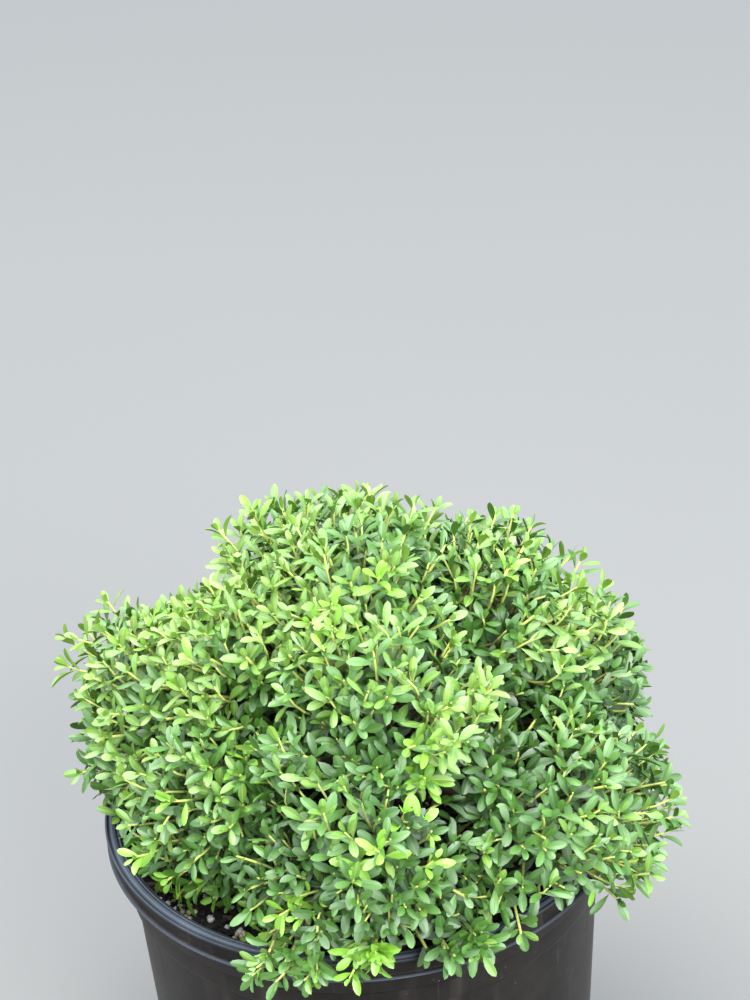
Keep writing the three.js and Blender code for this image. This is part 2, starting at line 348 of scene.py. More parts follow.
def template_of(bm):
    """The corners and triangles of a small shape, and each triangle's material."""
    bmesh.ops.triangulate(bm, faces=bm.faces[:])
    bm.verts.index_update()
    points = np.array([vert.co for vert in bm.verts])
    faces = np.array([[vert.index for vert in face.verts] for face in bm.faces])
    slots = np.array([face.material_index for face in bm.faces])
    bm.free()
    return points, faces, slots


def joined_mesh(name, groups, sharp_angle=None):
    """One mesh from groups of copies: each a (copies, corners, 3) array, its triangles and slots."""
    points, faces, slots = [], [], []
    start = 0
    for places, triangles, materials in groups:
        copies, corners = places.shape[:2]
        offsets = start + corners * np.arange(copies)
        points.append(places.reshape(-1, 3))
        faces.append((triangles[None] + offsets[:, None, None]).reshape(-1, 3))
        slots.append(np.broadcast_to(materials, (copies, len(triangles))).reshape(-1))
        start += copies * corners
    faces = np.concatenate(faces)
    mesh = bpy.data.meshes.new(name)
    mesh.vertices.add(start)
    mesh.vertices.foreach_set("co", np.concatenate(points).astype(np.float32).ravel())
    mesh.loops.add(faces.size)
    mesh.loops.foreach_set("vertex_index", faces.astype(np.int32).ravel())
    mesh.polygons.add(len(faces))
    mesh.polygons.foreach_set("loop_start", np.arange(0, faces.size, 3, dtype=np.int32))
    mesh.polygons.foreach_set("material_index", np.concatenate(slots).astype(np.int32))
    mesh.update(calc_edges=True)
    mesh.validate()
    return smoothed(mesh, sharp_angle)


def spun(profile, sides):
    """A closed solid of revolution from a profile of [radius, height] pairs that ends on the axis."""
    bm = bmesh.new()
    corners = [bm.verts.new((radius, 0, height)) for radius, height in profile]
    edges = [bm.edges.new(pair) for pair in zip(corners, corners[1:])]
    bmesh.ops.spin(
        bm, geom=corners + edges, cent=(0, 0, 0), axis=(0, 0, 1), dvec=(0, 0, 0),
        angle=math.tau, steps=sides, use_merge=True, use_duplicate=False,
    )
    bmesh.ops.remove_doubles(bm, verts=bm.verts[:], dist=0.01 * MM)
    bmesh.ops.recalc_face_normals(bm, faces=bm.faces[:])
    return bm


def bevel(bm, edges, offset, segments):
    bmesh.ops.bevel(
        bm, geom=edges, offset=offset, offset_type="OFFSET", segments=segments, profile=0.5,
        affect="EDGES", material=-1,
    )


def fresh_verts(geometry):
    """The corners among what a bmesh operator made."""
    return [part for part in geometry if isinstance(part, bmesh.types.BMVert)]


def draw_out(bm, faces, way):
    """Turns faces into a solid by drawing them out along a way."""
    moved = bmesh.ops.extrude_face_region(bm, geom=faces)["geom"]
    bmesh.ops.translate(bm, verts=fresh_verts(moved), vec=way)


def round_about(radius, angle, height):
    """Points at radii, turns and heights round the upright axis."""
    return np.stack([radius * np.cos(angle), radius * np.sin(angle), height], 1)


def arc(centre, radius, start, end, steps):
    """Points of a round corner, as [radius, height] pairs."""
    angles = [math.radians(start + (end - start) * i / steps) for i in range(steps + 1)]
    return [(centre[0] + radius * math.cos(a), centre[1] + radius * math.sin(a)) for a in angles]


def corners_from(radius, height, *moves):
    """Points set off from one point by millimetres out and up, as [radius, height] pairs."""
    return [(radius + out * MM, height + up * MM) for out, up in moves]


# Pot


def wall_radius_at(height):
    return BASE_RADIUS + WALL_TAPER * height


LIP_FOOT = POT_TOP - LIP_HEIGHT
UPPER_BAND_FOOT = LIP_FOOT - BAND_HEIGHT
LOWER_BAND_FOOT = UPPER_BAND_FOOT - BAND_HEIGHT
LOWER_BAND_RADIUS = wall_radius_at(LOWER_BAND_FOOT) + BAND_STEP
UPPER_BAND_RADIUS = LOWER_BAND_RADIUS + BAND_STEP
CORNER_RADIUS = BASE_RADIUS - BASE_CORNER + 0.3 * MM
BASE_INSIDE = BASE_RADIUS - WALL
WALL_INSIDE = wall_radius_at(LOWER_BAND_FOOT) - WALL
BAND_INSIDE = UPPER_BAND_RADIUS - WALL


def skin_radius_at(height):
    """The outside of the wall, with the round corner at its foot."""
    if height > BASE_CORNER:
        return wall_radius_at(height)
    return CORNER_RADIUS + math.sqrt(BASE_CORNER ** 2 - (BASE_CORNER - height) ** 2)


def pot_profile():
    """The pot's section, from the middle of its underside up the outside and down the inside."""
    wall = [height * MM for height in (30, 60, 90, 120, 150, 175)] + [LOWER_BAND_FOOT - 2.5 * MM]
    return [
        (0, BASE_HOLLOW),
        (BASE_RADIUS - 3 * BASE_CORNER, BASE_HOLLOW),
        (BASE_RADIUS - 2.8 * BASE_CORNER, 0),
        *arc((CORNER_RADIUS, BASE_CORNER), BASE_CORNER, -90, 0, steps=6),
        *((wall_radius_at(height), height) for height in wall),
        # The two bands, with a groove between them
        *corners_from(LOWER_BAND_RADIUS, LOWER_BAND_FOOT, (-0.3, -0.6), (0, 0.6)),
        *corners_from(LOWER_BAND_RADIUS, UPPER_BAND_FOOT, (0, -2.2), (-1, -1.6), (-1, -0.6)),
        *corners_from(UPPER_BAND_RADIUS, UPPER_BAND_FOOT, (-0.4, 0), (0, 0.8)),
        *corners_from(UPPER_BAND_RADIUS, LIP_FOOT, (0, -2.4), (0.5, -1.6)),
        # The ledge at the lip's foot
        *corners_from(
            LIP_RADIUS, LIP_FOOT,
            (-2, -1.4), (-0.5, -0.9), (-0.1, -0.2), (-0.5, 0.4), (-2.2, 0.9), (-2.8, 2.2),
        ),
        # Outer edge bead, wide band, thin ring and inner edge, with a groove between each two
        *corners_from(
            LIP_RADIUS, LIP_FOOT,
            (-2.3, 7.6), (-1.5, 9.2), (-0.3, 9.8), (0, 10.6), (-0.4, 11.4), (-1, 11.4), (-1.4, 10),
            (-2.1, 10), (-2.5, 11.5), (-3.1, 12), (-4.4, 12), (-5.3, 11.6), (-5.6, 10.2),
            (-6.2, 10.2), (-6.5, 11.2), (-7.2, 11.2), (-7.5, 9.8),
            (-8.1, 9.8), (-8.4, 10.6), (-9, 10.4), (-9.6, 9),
        ),
        *corners_from(INNER_LIP_RADIUS, LIP_FOOT, (0, 5.2), (-0.5, 4.4), (-1.3, 4), (-1.6, 3)),
        (BAND_INSIDE - 1 * MM, UPPER_BAND_FOOT),
        (WALL_INSIDE, LOWER_BAND_FOOT - 2 * MM),
        *((wall_radius_at(height) - WALL, height) for height in (100 * MM, 50 * MM)),
        *corners_from(BASE_INSIDE, WALL, (0, 5), (-1.5, 1.5), (-5, 0)),
        (0, WALL),
    ]


def drain_turn(index):
    return math.radians(360 * (index + 0.5) / DRAIN_HOLES)


def drain_face(bm, margin, depth):
    """A drain hole's arch, widened by a margin, as a flat face at a depth."""
    half = DRAIN_WIDTH / 2 + margin
    arch = arc((0, DRAIN_FOOT + DRAIN_HEIGHT - DRAIN_WIDTH / 2), half, 0, 180, steps=14)
    sill = [(-half + 2 * half * i / 6, DRAIN_FOOT - margin) for i in range(7)]
    face = bm.faces.new([bm.verts.new((across, -depth, up)) for across, up in arch + sill])
    face.normal_update()
    return face


def drain_frames():
    """A low raised edge round each drain hole, bent to the wall."""
    bm = bmesh.new()
    for index in range(DRAIN_HOLES):
        made = len(bm.verts)
        face = drain_face(bm, FRAME_WIDTH, FRAME_SUNK)
        ring = bmesh.ops.inset_region(
            bm, faces=[face], thickness=FRAME_WIDTH, use_boundary=True, use_even_offset=True,
        )["faces"]
        bmesh.ops.delete(bm, geom=[face], context="FACES")
        draw_out(bm, ring, (0, FRAME_SUNK + FRAME_PROUD, 0))
        bm.verts.ensure_lookup_table()
        for vert in bm.verts[made:]:
            radius = skin_radius_at(vert.co.z) + vert.co.y
            angle = drain_turn(index) - math.pi / 2 + vert.co.x / radius
            vert.co.x, vert.co.y = radius * math.cos(angle), radius * math.sin(angle)
    bmesh.ops.recalc_face_normals(bm, faces=bm.faces[:])
    edges = [edge for edge in bm.edges if edge.calc_face_angle(0) > math.radians(60)]
    bevel(bm, edges, FRAME_BEVEL, segments=2)
    return mesh_of(bm, "drain_frames", sharp_angle=50)


def drain_cutter(index):
    """An arched prism that cuts one drain hole through the base corner."""
    bm = bmesh.new()
    depth = 15 * MM
    draw_out(bm, [drain_face(bm, 0, depth)], (0, 2 * depth, 0))
    bmesh.ops.translate(bm, verts=bm.verts[:], vec=(0, -BASE_RADIUS, 0))
    turn = Matrix.Rotation(drain_turn(index), 3, "Z")
    bmesh.ops.rotate(bm, verts=bm.verts[:], cent=(0, 0, 0), matrix=turn)
    bmesh.ops.recalc_face_normals(bm, faces=bm.faces[:])
    return in_scene("drain_cutter", mesh_of(bm, "drain_cutter"))


def cut_with(mesh, cutters):
    """The mesh with the cutters' solids taken out of it. The cutters are removed."""
    body = in_scene("uncut", mesh)
    for cutter in cutters:
        modifier = body.modifiers.new("cut", "BOOLEAN")
        modifier.operation = "DIFFERENCE"
        modifier.solver = "EXACT"
        modifier.object = cutter
    graph = bpy.context.evaluated_depsgraph_get()
    result = bpy.data.meshes.new_from_object(body.evaluated_get(graph))
    for thing in [body, *cutters]:
        old = thing.data
        bpy.data.objects.remove(thing)
        bpy.data.meshes.remove(old)
    return result


def pot_plastic(settings):
    """Matt black plastic with a fine film of dust, pale specks and upright scuffs, and a pale bluish lip
    that is partly dust and partly a painted reflection of the sky, with a painted highlight along the
    ledge.
    """
    shader = Shader("pot_plastic", 0.5)
    film = shader.ramp(shader.noise(14, 5), 0.35, 0.7)
    scuffs = shader.ramp(shader.noise(60, 4, (1, 1, 0.12)), 0.52, 0.75)
    grain = shader.noise(900, 2)
    specks = 1 - shader.ramp(shader.cells(290), 0.06, 0.2)
    rare = shader.ramp(shader.noise(160, 2), 0.58, 0.7)
    mottle = shader.noise(130, 4, roughness=0.7)
    scratches = shader.ramp(shader.noise(340, 2, (1, 1, 0.06)), 0.66, 0.74)
    dust = film * 0.2 + scuffs * 0.26 + scratches * 0.22 + grain * 0.1 + mottle * 0.22 - 0.06
    body = shader.blend(dust, settings.colour, settings.dust)
    body = shader.blend(specks * rare * 0.45, body, paler(settings.dust, 2.8))
    # The lip: a pale bluish film with fine rings on its top, partly dust and partly a painted reflection of
    # the sky
    where = shader.place()
    across, deep, height = [shader.add("ShaderNodeSeparateXYZ", None, {0: where}, i) for i in range(3)]
    radius = (across * across + deep * deep) ** 0.5
    rings = shader.add("ShaderNodeTexNoise", None, {"Vector": radius, "Scale": 620, "Detail": 1})
    lip_dust_and_sheen = 0.3 + film * 0.35 + shader.ramp(rings, 0.35, 0.65) * 0.42
    lip = shader.ramp(height, POT_TOP - 2.6 * MM, POT_TOP - 0.4 * MM) * lip_dust_and_sheen
    # Painted highlight: a thin pale line along the ledge at the lip's foot, in the lip's colour
    ledge_highlight = 1 - shader.ramp(abs(height - LIP_FOOT), 0.3 * MM, 0.9 * MM)
    shader.set("Base Color", shader.blend(lip + ledge_highlight * 0.5, body, settings.lip_dust_and_sheen_colour))
    shader.set("Roughness", 0.34 + film * 0.12 + scuffs * 0.14 + grain * 0.06)
    shader.set("Specular IOR Level", 0.17)
    shader.relief(grain * 0.6 + scuffs * 0.4, 0.12 * MM)
    return shader.material


# Potting mix

CHIPS_PER_DRAIN = 16
CRUMBS_PER_DRAIN = 4
BEADS_PER_HEAP = 9
CHIP_TONES = (0.58, 0.36, 0.06)
BEAD_TONES = (0.6, 0.4)
# Where the photograph shows heaps of beads: turn in degrees, and share of the way to the lip
SHOWN_HEAPS = ((-118, 1), (-127, 0.97), (-72, 1), (-146, 0.98))


def soil_height(radius):
    """The mix's top: level by the wall, a shallow dip, and a rise round the stem."""
    share = min(1, radius / BAND_INSIDE)
    mound = SOIL_MOUND * math.exp(-((share / 0.25) ** 2))
    return SOIL_TOP + mound - 1 * MM * math.sin(share * math.pi)


def soil_solid():
    """The filling of the pot, its top in fine rings that are then roughened."""
    gap = SEAT + 0.1 * MM
    edge = BAND_INSIDE - 1 * MM - 3 * gap
    rings = 52
    radii = [edge * (1 - i / rings) for i in range(rings + 1)]
    bm = spun([
        (0, WALL + SEAT),
        (BASE_INSIDE - 5 * MM - gap, WALL + SEAT),
        (BASE_INSIDE - gap, WALL + 5 * MM),
        (wall_radius_at(100 * MM) - WALL - gap, 100 * MM),
        (WALL_INSIDE - gap, LOWER_BAND_FOOT - 2 * MM),
        (BAND_INSIDE - 1 * MM - 2 * gap, UPPER_BAND_FOOT),
        *((radius, soil_height(radius)) for radius in radii),
    ], sides=128)
    for vert in bm.verts:
        if vert.co.z > UPPER_BAND_FOOT + 1 * MM:
            inner = min(1.0, (edge - vert.co.xy.length) / (4 * MM))
            vert.co.z += noise.fractal(vert.co * 90, 0.8, 2.1, 4) * 1.7 * MM * inner
    return mesh_of(bm, "soil_bed")


def scattered(count, random, radius_limit):
    """Points spread over the mix's top."""
    radius = radius_limit * np.sqrt(random.uniform(0, 1, count))
    angle = random.uniform(0, math.tau, count)
    return round_about(radius, angle, np.array([soil_height(r) for r in radius]))


def seen_in_drains(count, random):
    """Points on the mix's side, spread over the drain holes."""
    angle = np.array([drain_turn(i % DRAIN_HOLES) - math.pi / 2 for i in range(count)])
    angle += random.uniform(-0.42, 0.42, count) * DRAIN_WIDTH / BASE_RADIUS
    height = DRAIN_FOOT + random.uniform(0.12, 0.85, count) * DRAIN_HEIGHT
    radius = BASE_INSIDE - random.uniform(0.4, 1.4, count) * MM - np.maximum(0, 8 * MM - height)
    return round_about(radius, angle, height)


def turned_copies(points, places, sizes, random, tilt):
    """Copies of a small shape at places, each with its own size and turn, tilted up to an angle."""
    copies = np.empty((len(places), len(points), 3))
    for i, place in enumerate(places):
        axis = Vector((random.uniform(-1, 1), random.uniform(-1, 1), 0.01)).normalized()
        lean = Quaternion(axis, random.uniform(-tilt, tilt))
        turn = lean @ Quaternion((0, 0, 1), random.uniform(0, math.tau))
        copies[i] = (points * sizes[i]) @ np.array(turn.to_matrix()).T + place
    return copies


def by_tone(copies, faces, tones):
    """The copies in groups, one for each tone."""
    return [(copies[tones == tone], faces, np.full(len(faces), tone)) for tone in range(max(tones) + 1)]


def chip_template():
    """A flake of bark: a bevelled box, its ends pulled out of true."""
    bm = bmesh.new()
    bmesh.ops.create_cube(bm, size=1)
    for vert in bm.verts:
        vert.co.y *= 0.8 + 0.3 * math.sin(vert.co.x * 9 + vert.co.z * 5)
        vert.co.z += 0.22 * vert.co.x * vert.co.y
    bevel(bm, bm.edges[:], offset=0.12, segments=1)
    return template_of(bm)


def bead_template(lumps):
    """A rough bead."""
    bm = bmesh.new()
    bmesh.ops.create_icosphere(bm, subdivisions=2, radius=0.5)
    for vert in bm.verts:
        vert.co *= 1 + lumps * noise.noise(vert.co * 3.7)
    return template_of(bm)


def bark_chips(random, settings):
    points, faces, _ = chip_template()
    count = settings.chips
    places = scattered(count, random, INNER_LIP_RADIUS - 8 * MM)
    length = random.uniform(2.5, 9.5, count) * MM
    width = length * random.uniform(0.3, 0.6, count)
    thickness = length * random.uniform(0.12, 0.3, count)
    places[:, 2] += thickness * 0.35 + random.uniform(0, 1.2, count) * MM
    on_top = turned_copies(points, places, np.stack([length, width, thickness], 1), random, tilt=0.7)
    count = CHIPS_PER_DRAIN * DRAIN_HOLES
    sizes = np.array([4, 2.2, 1]) * MM * random.uniform(0.5, 1, (count, 1))
    in_drains = turned_copies(points, seen_in_drains(count, random), sizes, random, tilt=3)
    copies = np.concatenate([on_top, in_drains])
    return by_tone(copies, faces, random.choice(len(CHIP_TONES), len(copies), p=CHIP_TONES))


def perlite(random, settings):
    """White crumbs, small ones among them in the drain holes."""
    points, faces, _ = bead_template(0.6)
    places = scattered(settings.perlite, random, INNER_LIP_RADIUS - 5 * MM)
    sizes = random.uniform(1.4, 4, (len(places), 1)) * MM
    places[:, 2] += sizes[:, 0] * 0.3
    in_drains = CRUMBS_PER_DRAIN * DRAIN_HOLES
    places = np.concatenate([places, seen_in_drains(in_drains, random)])
    sizes = np.concatenate([sizes, sizes[:in_drains] * 0.4])
    copies = turned_copies(points, places, sizes, random, tilt=3)
    return by_tone(copies, faces, np.zeros(len(copies), int))


def fertiliser_beads(random, settings):
    """Coated round beads, dropped in small heaps, four of them where the photograph shows them."""
    points, faces, _ = bead_template(0.04)
    heaps = scattered(settings.heaps, random, INNER_LIP_RADIUS - 12 * MM)
    edge = INNER_LIP_RADIUS - 16 * MM
    for heap, (angle, share) in zip(heaps, SHOWN_HEAPS):
        turn = math.radians(angle)
        heap[:2] = edge * share * math.cos(turn), edge * share * math.sin(turn)
    spread = random.normal(0, 3.6, (len(heaps), BEADS_PER_HEAP, 3)) * MM
    spread[..., 2] = np.abs(spread[..., 2]) * 0.35 + 1.2 * MM
    places = (heaps[:, None] + spread).reshape(-1, 3)
    sizes = random.uniform(2.6, 3.6, (len(places), 1)) * MM
    tones = random.choice(len(BEAD_TONES), len(places), p=BEAD_TONES)
    return by_tone(turned_copies(points, places, sizes, random, tilt=3), faces, tones)


def potting_mix(colour):
    """Damp dark bark fines."""
    shader = Shader("potting_mix", 0.85)
    lumps = shader.noise(160, 6, roughness=0.7)
    shader.set("Base Color", shader.blend(shader.ramp(lumps, 0.42, 0.72), colour, paler(colour, 3.2, 0.01)))
    shader.set("Roughness", 0.95 - 0.35 * shader.ramp(shader.noise(300, 2), 0.5, 0.8))
    shader.relief(lumps, 1.6 * MM)
    return shader.material


# Stem and boughs

# Depths of the bark's relief, as shares of a limb's radius
RIDGE = 0.05
KNOT = 0.05
SHRUNK = 0.03
STEM_CURVE = (
    np.array([0, 0, STEM_FOOT]),
    np.array([0, 0, HEART_HEIGHT - 15 * MM]),
    np.array([STEM_LEAN[0] * 2, STEM_LEAN[1] * 2, HEART_HEIGHT + HEART_REACH - 4 * MM - SEAT]),
)


def bezier(points, t):
    """A point of a Bezier curve with three or four corners."""
    while len(points) > 1:
        points = [a + (b - a) * t for a, b in zip(points, points[1:])]
    return points[0]


def tangent_of(points, t):
    ends = bezier(points, min(1, t + 0.01)) - bezier(points, max(0, t - 0.01))
    return ends / np.linalg.norm(ends)


def stem_radius_at(t):
    flare = 1 + (STEM_FLARE - 1) * max(0, 1 - t / 0.22) ** 2
    return (STEM_RADIUS + (STEM_TOP_RADIUS - STEM_RADIUS) * t) * flare


def bough_radius_at(t):
    return BOUGH_RADIUS + (BOUGH_TIP_RADIUS - BOUGH_RADIUS) * t


def bough_curve(mass):
    """Square off the stem, then bending to the foot of its mass."""
    end = mass.foot + mass.inward * SEAT
    lowest, step, places = (0.28, 0.11, 3) if mass.tier == 0 else (0.64, 0.09, 2)
    height = lowest + step * (mass.index % places)
    root = bezier(STEM_CURVE, height)
    tangent = tangent_of(STEM_CURVE, height)
    out = end - root
    out = out - tangent * (out @ tangent)
    out = out / np.linalg.norm(out)
    start = root + out * (stem_radius_at(height) + SEAT)
    reach = np.linalg.norm(end - start) * 0.35
    return start, start + out * reach, end + mass.inward * reach, end


def bark_limb(name, points, radius_at, sides, steps, seed):
    """A limb drawn out ring by ring along its curve, its skin ridged and knotted like bark."""
    bm = bmesh.new()
    ring = bmesh.ops.create_circle(bm, cap_ends=True, segments=sides, radius=1)["verts"]
    rings = [ring]
    for _ in range(steps):
        edges = [
            edge for edge in bm.edges
            if len(edge.link_faces) < 2 and all(vert in ring for vert in edge.verts)
        ]
        moved = bmesh.ops.extrude_edge_only(bm, edges=edges)["geom"]
        old = {tuple(vert.co): i for i, vert in enumerate(ring)}
        ring = sorted(fresh_verts(moved), key=lambda vert: old[tuple(vert.co)])
        rings.append(ring)
    bm.faces.new(ring)
    side = Vector((1, 0.2, 0.1))
    for step, ring in enumerate(rings):
        t = step / steps
        centre = Vector(bezier(points, t))
        along = Vector(tangent_of(points, t))
        side = (side - along * side.dot(along)).normalized()
        up = along.cross(side)
        for i, vert in enumerate(ring):
            angle = math.tau * i / sides
            way = side * math.cos(angle) + up * math.sin(angle)
            spot = centre + way * radius_at(t)
            ridges = noise.noise(Vector((way.x * 5, way.y * 5, spot.z * 60 + seed)))
            knots = noise.noise(spot * 140 + Vector((seed, 0, 0)))
            vert.co = centre + way * radius_at(t) * (1 + RIDGE * ridges + KNOT * knots - SHRUNK)
    bmesh.ops.recalc_face_normals(bm, faces=bm.faces[:])
    return mesh_of(bm, name, sharp_angle=60)


def bark(colour):
    """Grey-brown bark, streaked lengthwise, with pale breathing pores."""
    shader = Shader("bark", 0.85)
    streaks = shader.noise(420, 5, (1, 1, 0.25), 0.65)
    pores = 1 - shader.ramp(shader.cells(520, (1, 1, 1.6)), 0.18, 0.3)
    tone = shader.blend(shader.ramp(streaks, 0.3, 0.7), paler(colour, 0.45), colour)
    shader.set("Base Color", shader.blend(pores * 0.5, tone, paler(colour, 2.1, 0.02)))
    shader.set("Roughness", 0.75 + 0.2 * streaks)
    shader.relief(streaks + pores * 0.4, 0.5 * MM)
    return shader.material


# Crown


def seeded_random(seed):
    """The source's own seeded numbers."""
    most = 2147483647
    state = seed
    while True:
        state = (state * 16807) % most
        yield state / most


def fullness(angle):
    """How much further or nearer the crown reaches in one direction around the stem."""
    away = ((angle - THIN_SIDE + 540) % 360) - 180
    thin = THIN_SHARE * math.exp(-((away / THIN_WIDTH) ** 2))
    return 1 + FULL_SHARE * math.cos(math.radians(angle - FULL_SIDE)) - thin


class Mass:
    """One mass of foliage: a ball cut flat by the planes that part it from its neighbours."""

    def __init__(self, place, tier, angle, index):
        ring = RINGS[tier]
        full = fullness(angle)
        turn = math.radians(angle)
        tilt = CROWN_TILT * math.cos(math.radians(angle - LOW_SIDE)) * ring["spread"] / RINGS[0]["spread"]
        reach = ring["spread"] * full
        self.centre = np.array([math.cos(turn) * reach, math.sin(turn) * reach, ring["height"] - tilt])
        self.centre += STEM_LEAN
        self.place = place
        self.tier = tier
        self.index = index
        self.size = ring["size"] * full
        self.seed = 11 + 7 * index
        inward = HEART - self.centre
        self.to_heart = np.linalg.norm(inward)
        self.inward = inward / self.to_heart
        self.foot = self.centre + self.inward * (self.to_heart - HEART_REACH + FOOT_OUT)
        self.inside = self.centre + self.inward * self.size * STEM_END_SHARE

    def bound(self, masses):
        normals, distances = [], []
        for other in masses:
            if other is not self:
                apart = other.centre - self.centre
                length = np.linalg.norm(apart)
                middle = (length ** 2 + self.size ** 2 - other.size ** 2) / (2 * length)
                normals.append(apart / length)
                distances.append(middle - MASS_GAP / 2)
        self.normals = np.array([*normals, self.inward])
        self.distances = np.array([*distances, self.to_heart - HEART_REACH])

    def reach(self, directions, limits):
        """How far the mass's space goes along each direction, up to a limit."""
        slopes = directions @ self.normals.T
        steps = np.where(slopes > 1e-6, self.distances / np.maximum(slopes, 1e-6), np.inf)
        return np.minimum(steps.min(axis=1), limits)

    def holds(self, points, margin):
        offsets = points - self.centre
        return np.all(offsets @ self.normals.T < self.distances - margin, axis=-1)


@functools.cache
def lay_out_masses():
    masses = []
    for tier, ring in enumerate(RINGS):
        for i, place in enumerate(ring["places"]):
            angle = ring["start"] + 360 * i / len(ring["places"])
            masses.append(Mass(place, tier, angle, len(masses)))
    for mass in masses:
        mass.bound(masses)
    return masses


def clear_of_pot(points, clearance=CLEARANCE):
    """Whether each point is clear of the lip, the wall and the mix."""
    radius = np.hypot(points[..., 0], points[..., 1])
    height = points[..., 2]
    above = height > POT_TOP + clearance
    outside = radius > LIP_RADIUS + clearance
    inside = (radius < INNER_LIP_RADIUS - 2 * clearance) & (height > SOIL_TOP + 2 * clearance)
    return above | outside | inside


def nearness(points, turn, rise, width):
    """How near each point lies to one direction from the heart: 1 on it, falling off over a width."""
    turn, rise = math.radians(turn), math.radians(rise)
    middle = np.array([math.cos(turn) * math.cos(rise), math.sin(turn) * math.cos(rise), math.sin(rise)])
    away = np.degrees(np.arccos(np.clip(unit(points - HEART) @ middle, -1, 1)))
    return np.exp(-((away / width) ** 2))


def near_spots(points, spots, width):
    """How near each point lies to the nearest of some directions from the heart."""
    return np.max([nearness(points, turn, rise, width) for turn, rise in spots], axis=0)


def hollowness(points):
    """How deep each point lies in a hollow: 1 in its middle."""
    return near_spots(points, [spot for chain in HOLLOWS.values() for spot in chain], HOLLOW_WIDTH)


def swell(points):
    """How far the crown stands out or falls back at each of some points on its face."""
    moved = -HOLLOW_DEPTH * hollowness(points)
    for turn, rise, width, amount in SHOULDERS.values():
        moved += amount * MM * nearness(points, turn, rise, width)
    return moved


def over_front_edge(tips):
    """Whether a tip would hide the front of the lip, which only hanging shoots do."""
    turn = np.degrees(np.arctan2(tips[:, 1], tips[:, 0])) % 360
    outside = np.maximum(np.hypot(tips[:, 0], tips[:, 1]) - LIP_RADIUS, FRONT_REACH)
    low = tips[:, 2] < POT_TOP + 12 * MM + FRONT_RISE * outside
    return low & (outside > FRONT_REACH) & (turn > FRONT_EDGE[0]) & (turn < FRONT_EDGE[1])


def golden_directions(count, phase, outward):
    """Directions spread evenly round a ball in a golden spiral that starts outward."""
    i = np.arange(count)
    height = 1 - (2 * i + 1) / count
    across = np.sqrt(1 - height * height)
    local = round_about(across, i * GOLDEN_ANGLE + phase, height)
    turn = Vector((0, 0, 1)).rotation_difference(Vector(outward)).to_matrix()
    return local @ np.array(turn).T


class Curves:
    """Many three-cornered Bezier curves at once."""

    def __init__(self, start, bend, end):
        self.start, self.bend, self.end = start, bend, end
        chord = np.linalg.norm(end - start, axis=1)
        sides = np.linalg.norm(bend - start, axis=1) * 0.5 + np.linalg.norm(end - bend, axis=1) * 0.5
        self.length = np.maximum(0.5 * (sides + chord), chord)

    def __len__(self):
        return len(self.start)

    def corners(self):
        return self.start[:, None], self.bend[:, None], self.end[:, None]

    def at(self, t):
        """Points at shares t of each curve; t is one share, a row of them, or a row for each curve."""
        t = np.asarray(t)[..., None]
        start, bend, end = self.corners()
        return start * (1 - t) ** 2 + bend * 2 * t * (1 - t) + end * t ** 2

    def along(self, t):
        t = np.asarray(t)[..., None]
        start, bend, end = self.corners()
        return unit((bend - start) * (1 - t) + (end - bend) * t)

    def only(self, kept):
        return Curves(self.start[kept], self.bend[kept], self.end[kept])

    def outer_half(self):
        return Curves(self.at(0.5)[:, 0], (self.bend + self.end) / 2, self.end)

    @staticmethod
    def together(parts):
        corners = [(part.start, part.bend, part.end) for part in parts]
        return Curves(*np.concatenate(corners, axis=1))


# Main shoots, as in the source: in shares of the mass's size, their reach, its luck and where they
# begin to keep to the mass's space, and the room that they leave. Where they bend is the scene's own.
MAIN_REACH = 0.86
MAIN_LUCK = 0.12
MAIN_KEPT_FROM = 0.45
MAIN_ROOM = 2 * MM
MAIN_BEND = 0.35
# Hanging shoots, which end higher than the source's: how far outside the lip and how high over it
# they bend and end, how high they start, and by how much the height of their ends varies
HANG_BEND_OUT, HANG_BEND_UP = 8 * MM, 20 * MM
HANG_END_OUT, HANG_END_UP = 11 * MM, 11 * MM
HANG_START_UP = 14 * MM
HANG_DROP = 9 * MM
# Fine shoots: how far they scatter, how uneven the crown's face is, their reach with its luck and
# that of the longest, the stretch of a main shoot that they leave, and where they bend
FINE_SCATTER = 0.035
FINE_BUMPS = 0.065
FINE_REACH, FINE_LUCK, FINE_LONGEST = 0.85, 0.08, 0.15
FINE_STARTS = (0.42, 0.72)
FINE_BEND = 0.5
# Side sprays of hanging shoots: how many, the stretch that they leave, and their length
SPRAYS = 3
SPRAY_STARTS = (0.35, 0.85)
SPRAY_LENGTH = 16 * MM
SPRAY_LENGTHS = (0.7, 1.1)
# A shoot stays if at least so many of its first leaves do
FIRST_LEAVES = 7
LEAST_LEAVES = 4
# Radii of the masses' stems, the main shoots and the leafy shoots, at foot and tip
STEM_RADII = (BOUGH_TIP_RADIUS, BOUGH_TIP_RADIUS * 0.8)
TRUNK_RADII = (TWIG_RADIUS * 0.85, 0.7 * MM)
SHOOT_RADII = (0.95 * MM, 0.55 * MM)


def main_shoots(mass):
    """The source's own shoots, each now a curved twig off the mass's stem, fitted to the crown's face."""
    random = seeded_random(mass.seed)
    count = RINGS[mass.tier]["shoots"]
    directions = golden_directions(count, mass.seed, -mass.inward)
    limits = np.array([mass.size * (MAIN_REACH + MAIN_LUCK * next(random)) for _ in range(count)])
    limits += swell(mass.centre + directions * limits[:, None])
    reach = mass.reach(directions, limits + MAIN_ROOM) - MAIN_ROOM
    middle = mass.centre + directions * mass.size * MAIN_KEPT_FROM
    tips = mass.centre + directions * reach[:, None]
    path = middle[:, None] + (tips - middle)[:, None] * (np.arange(1, 7) / 6)[:, None]
    kept = (reach >= mass.size * CORE_SHARE + 3 * MM) & mass.holds(path, TWIG_RADIUS).all(1)
    kept &= clear_of_pot(path).all(1)
    starts = np.repeat(mass.inside[None], kept.sum(), 0)
    bends = mass.centre + directions[kept] * mass.size * MAIN_BEND
    return Curves(starts, bends, tips[kept]), random


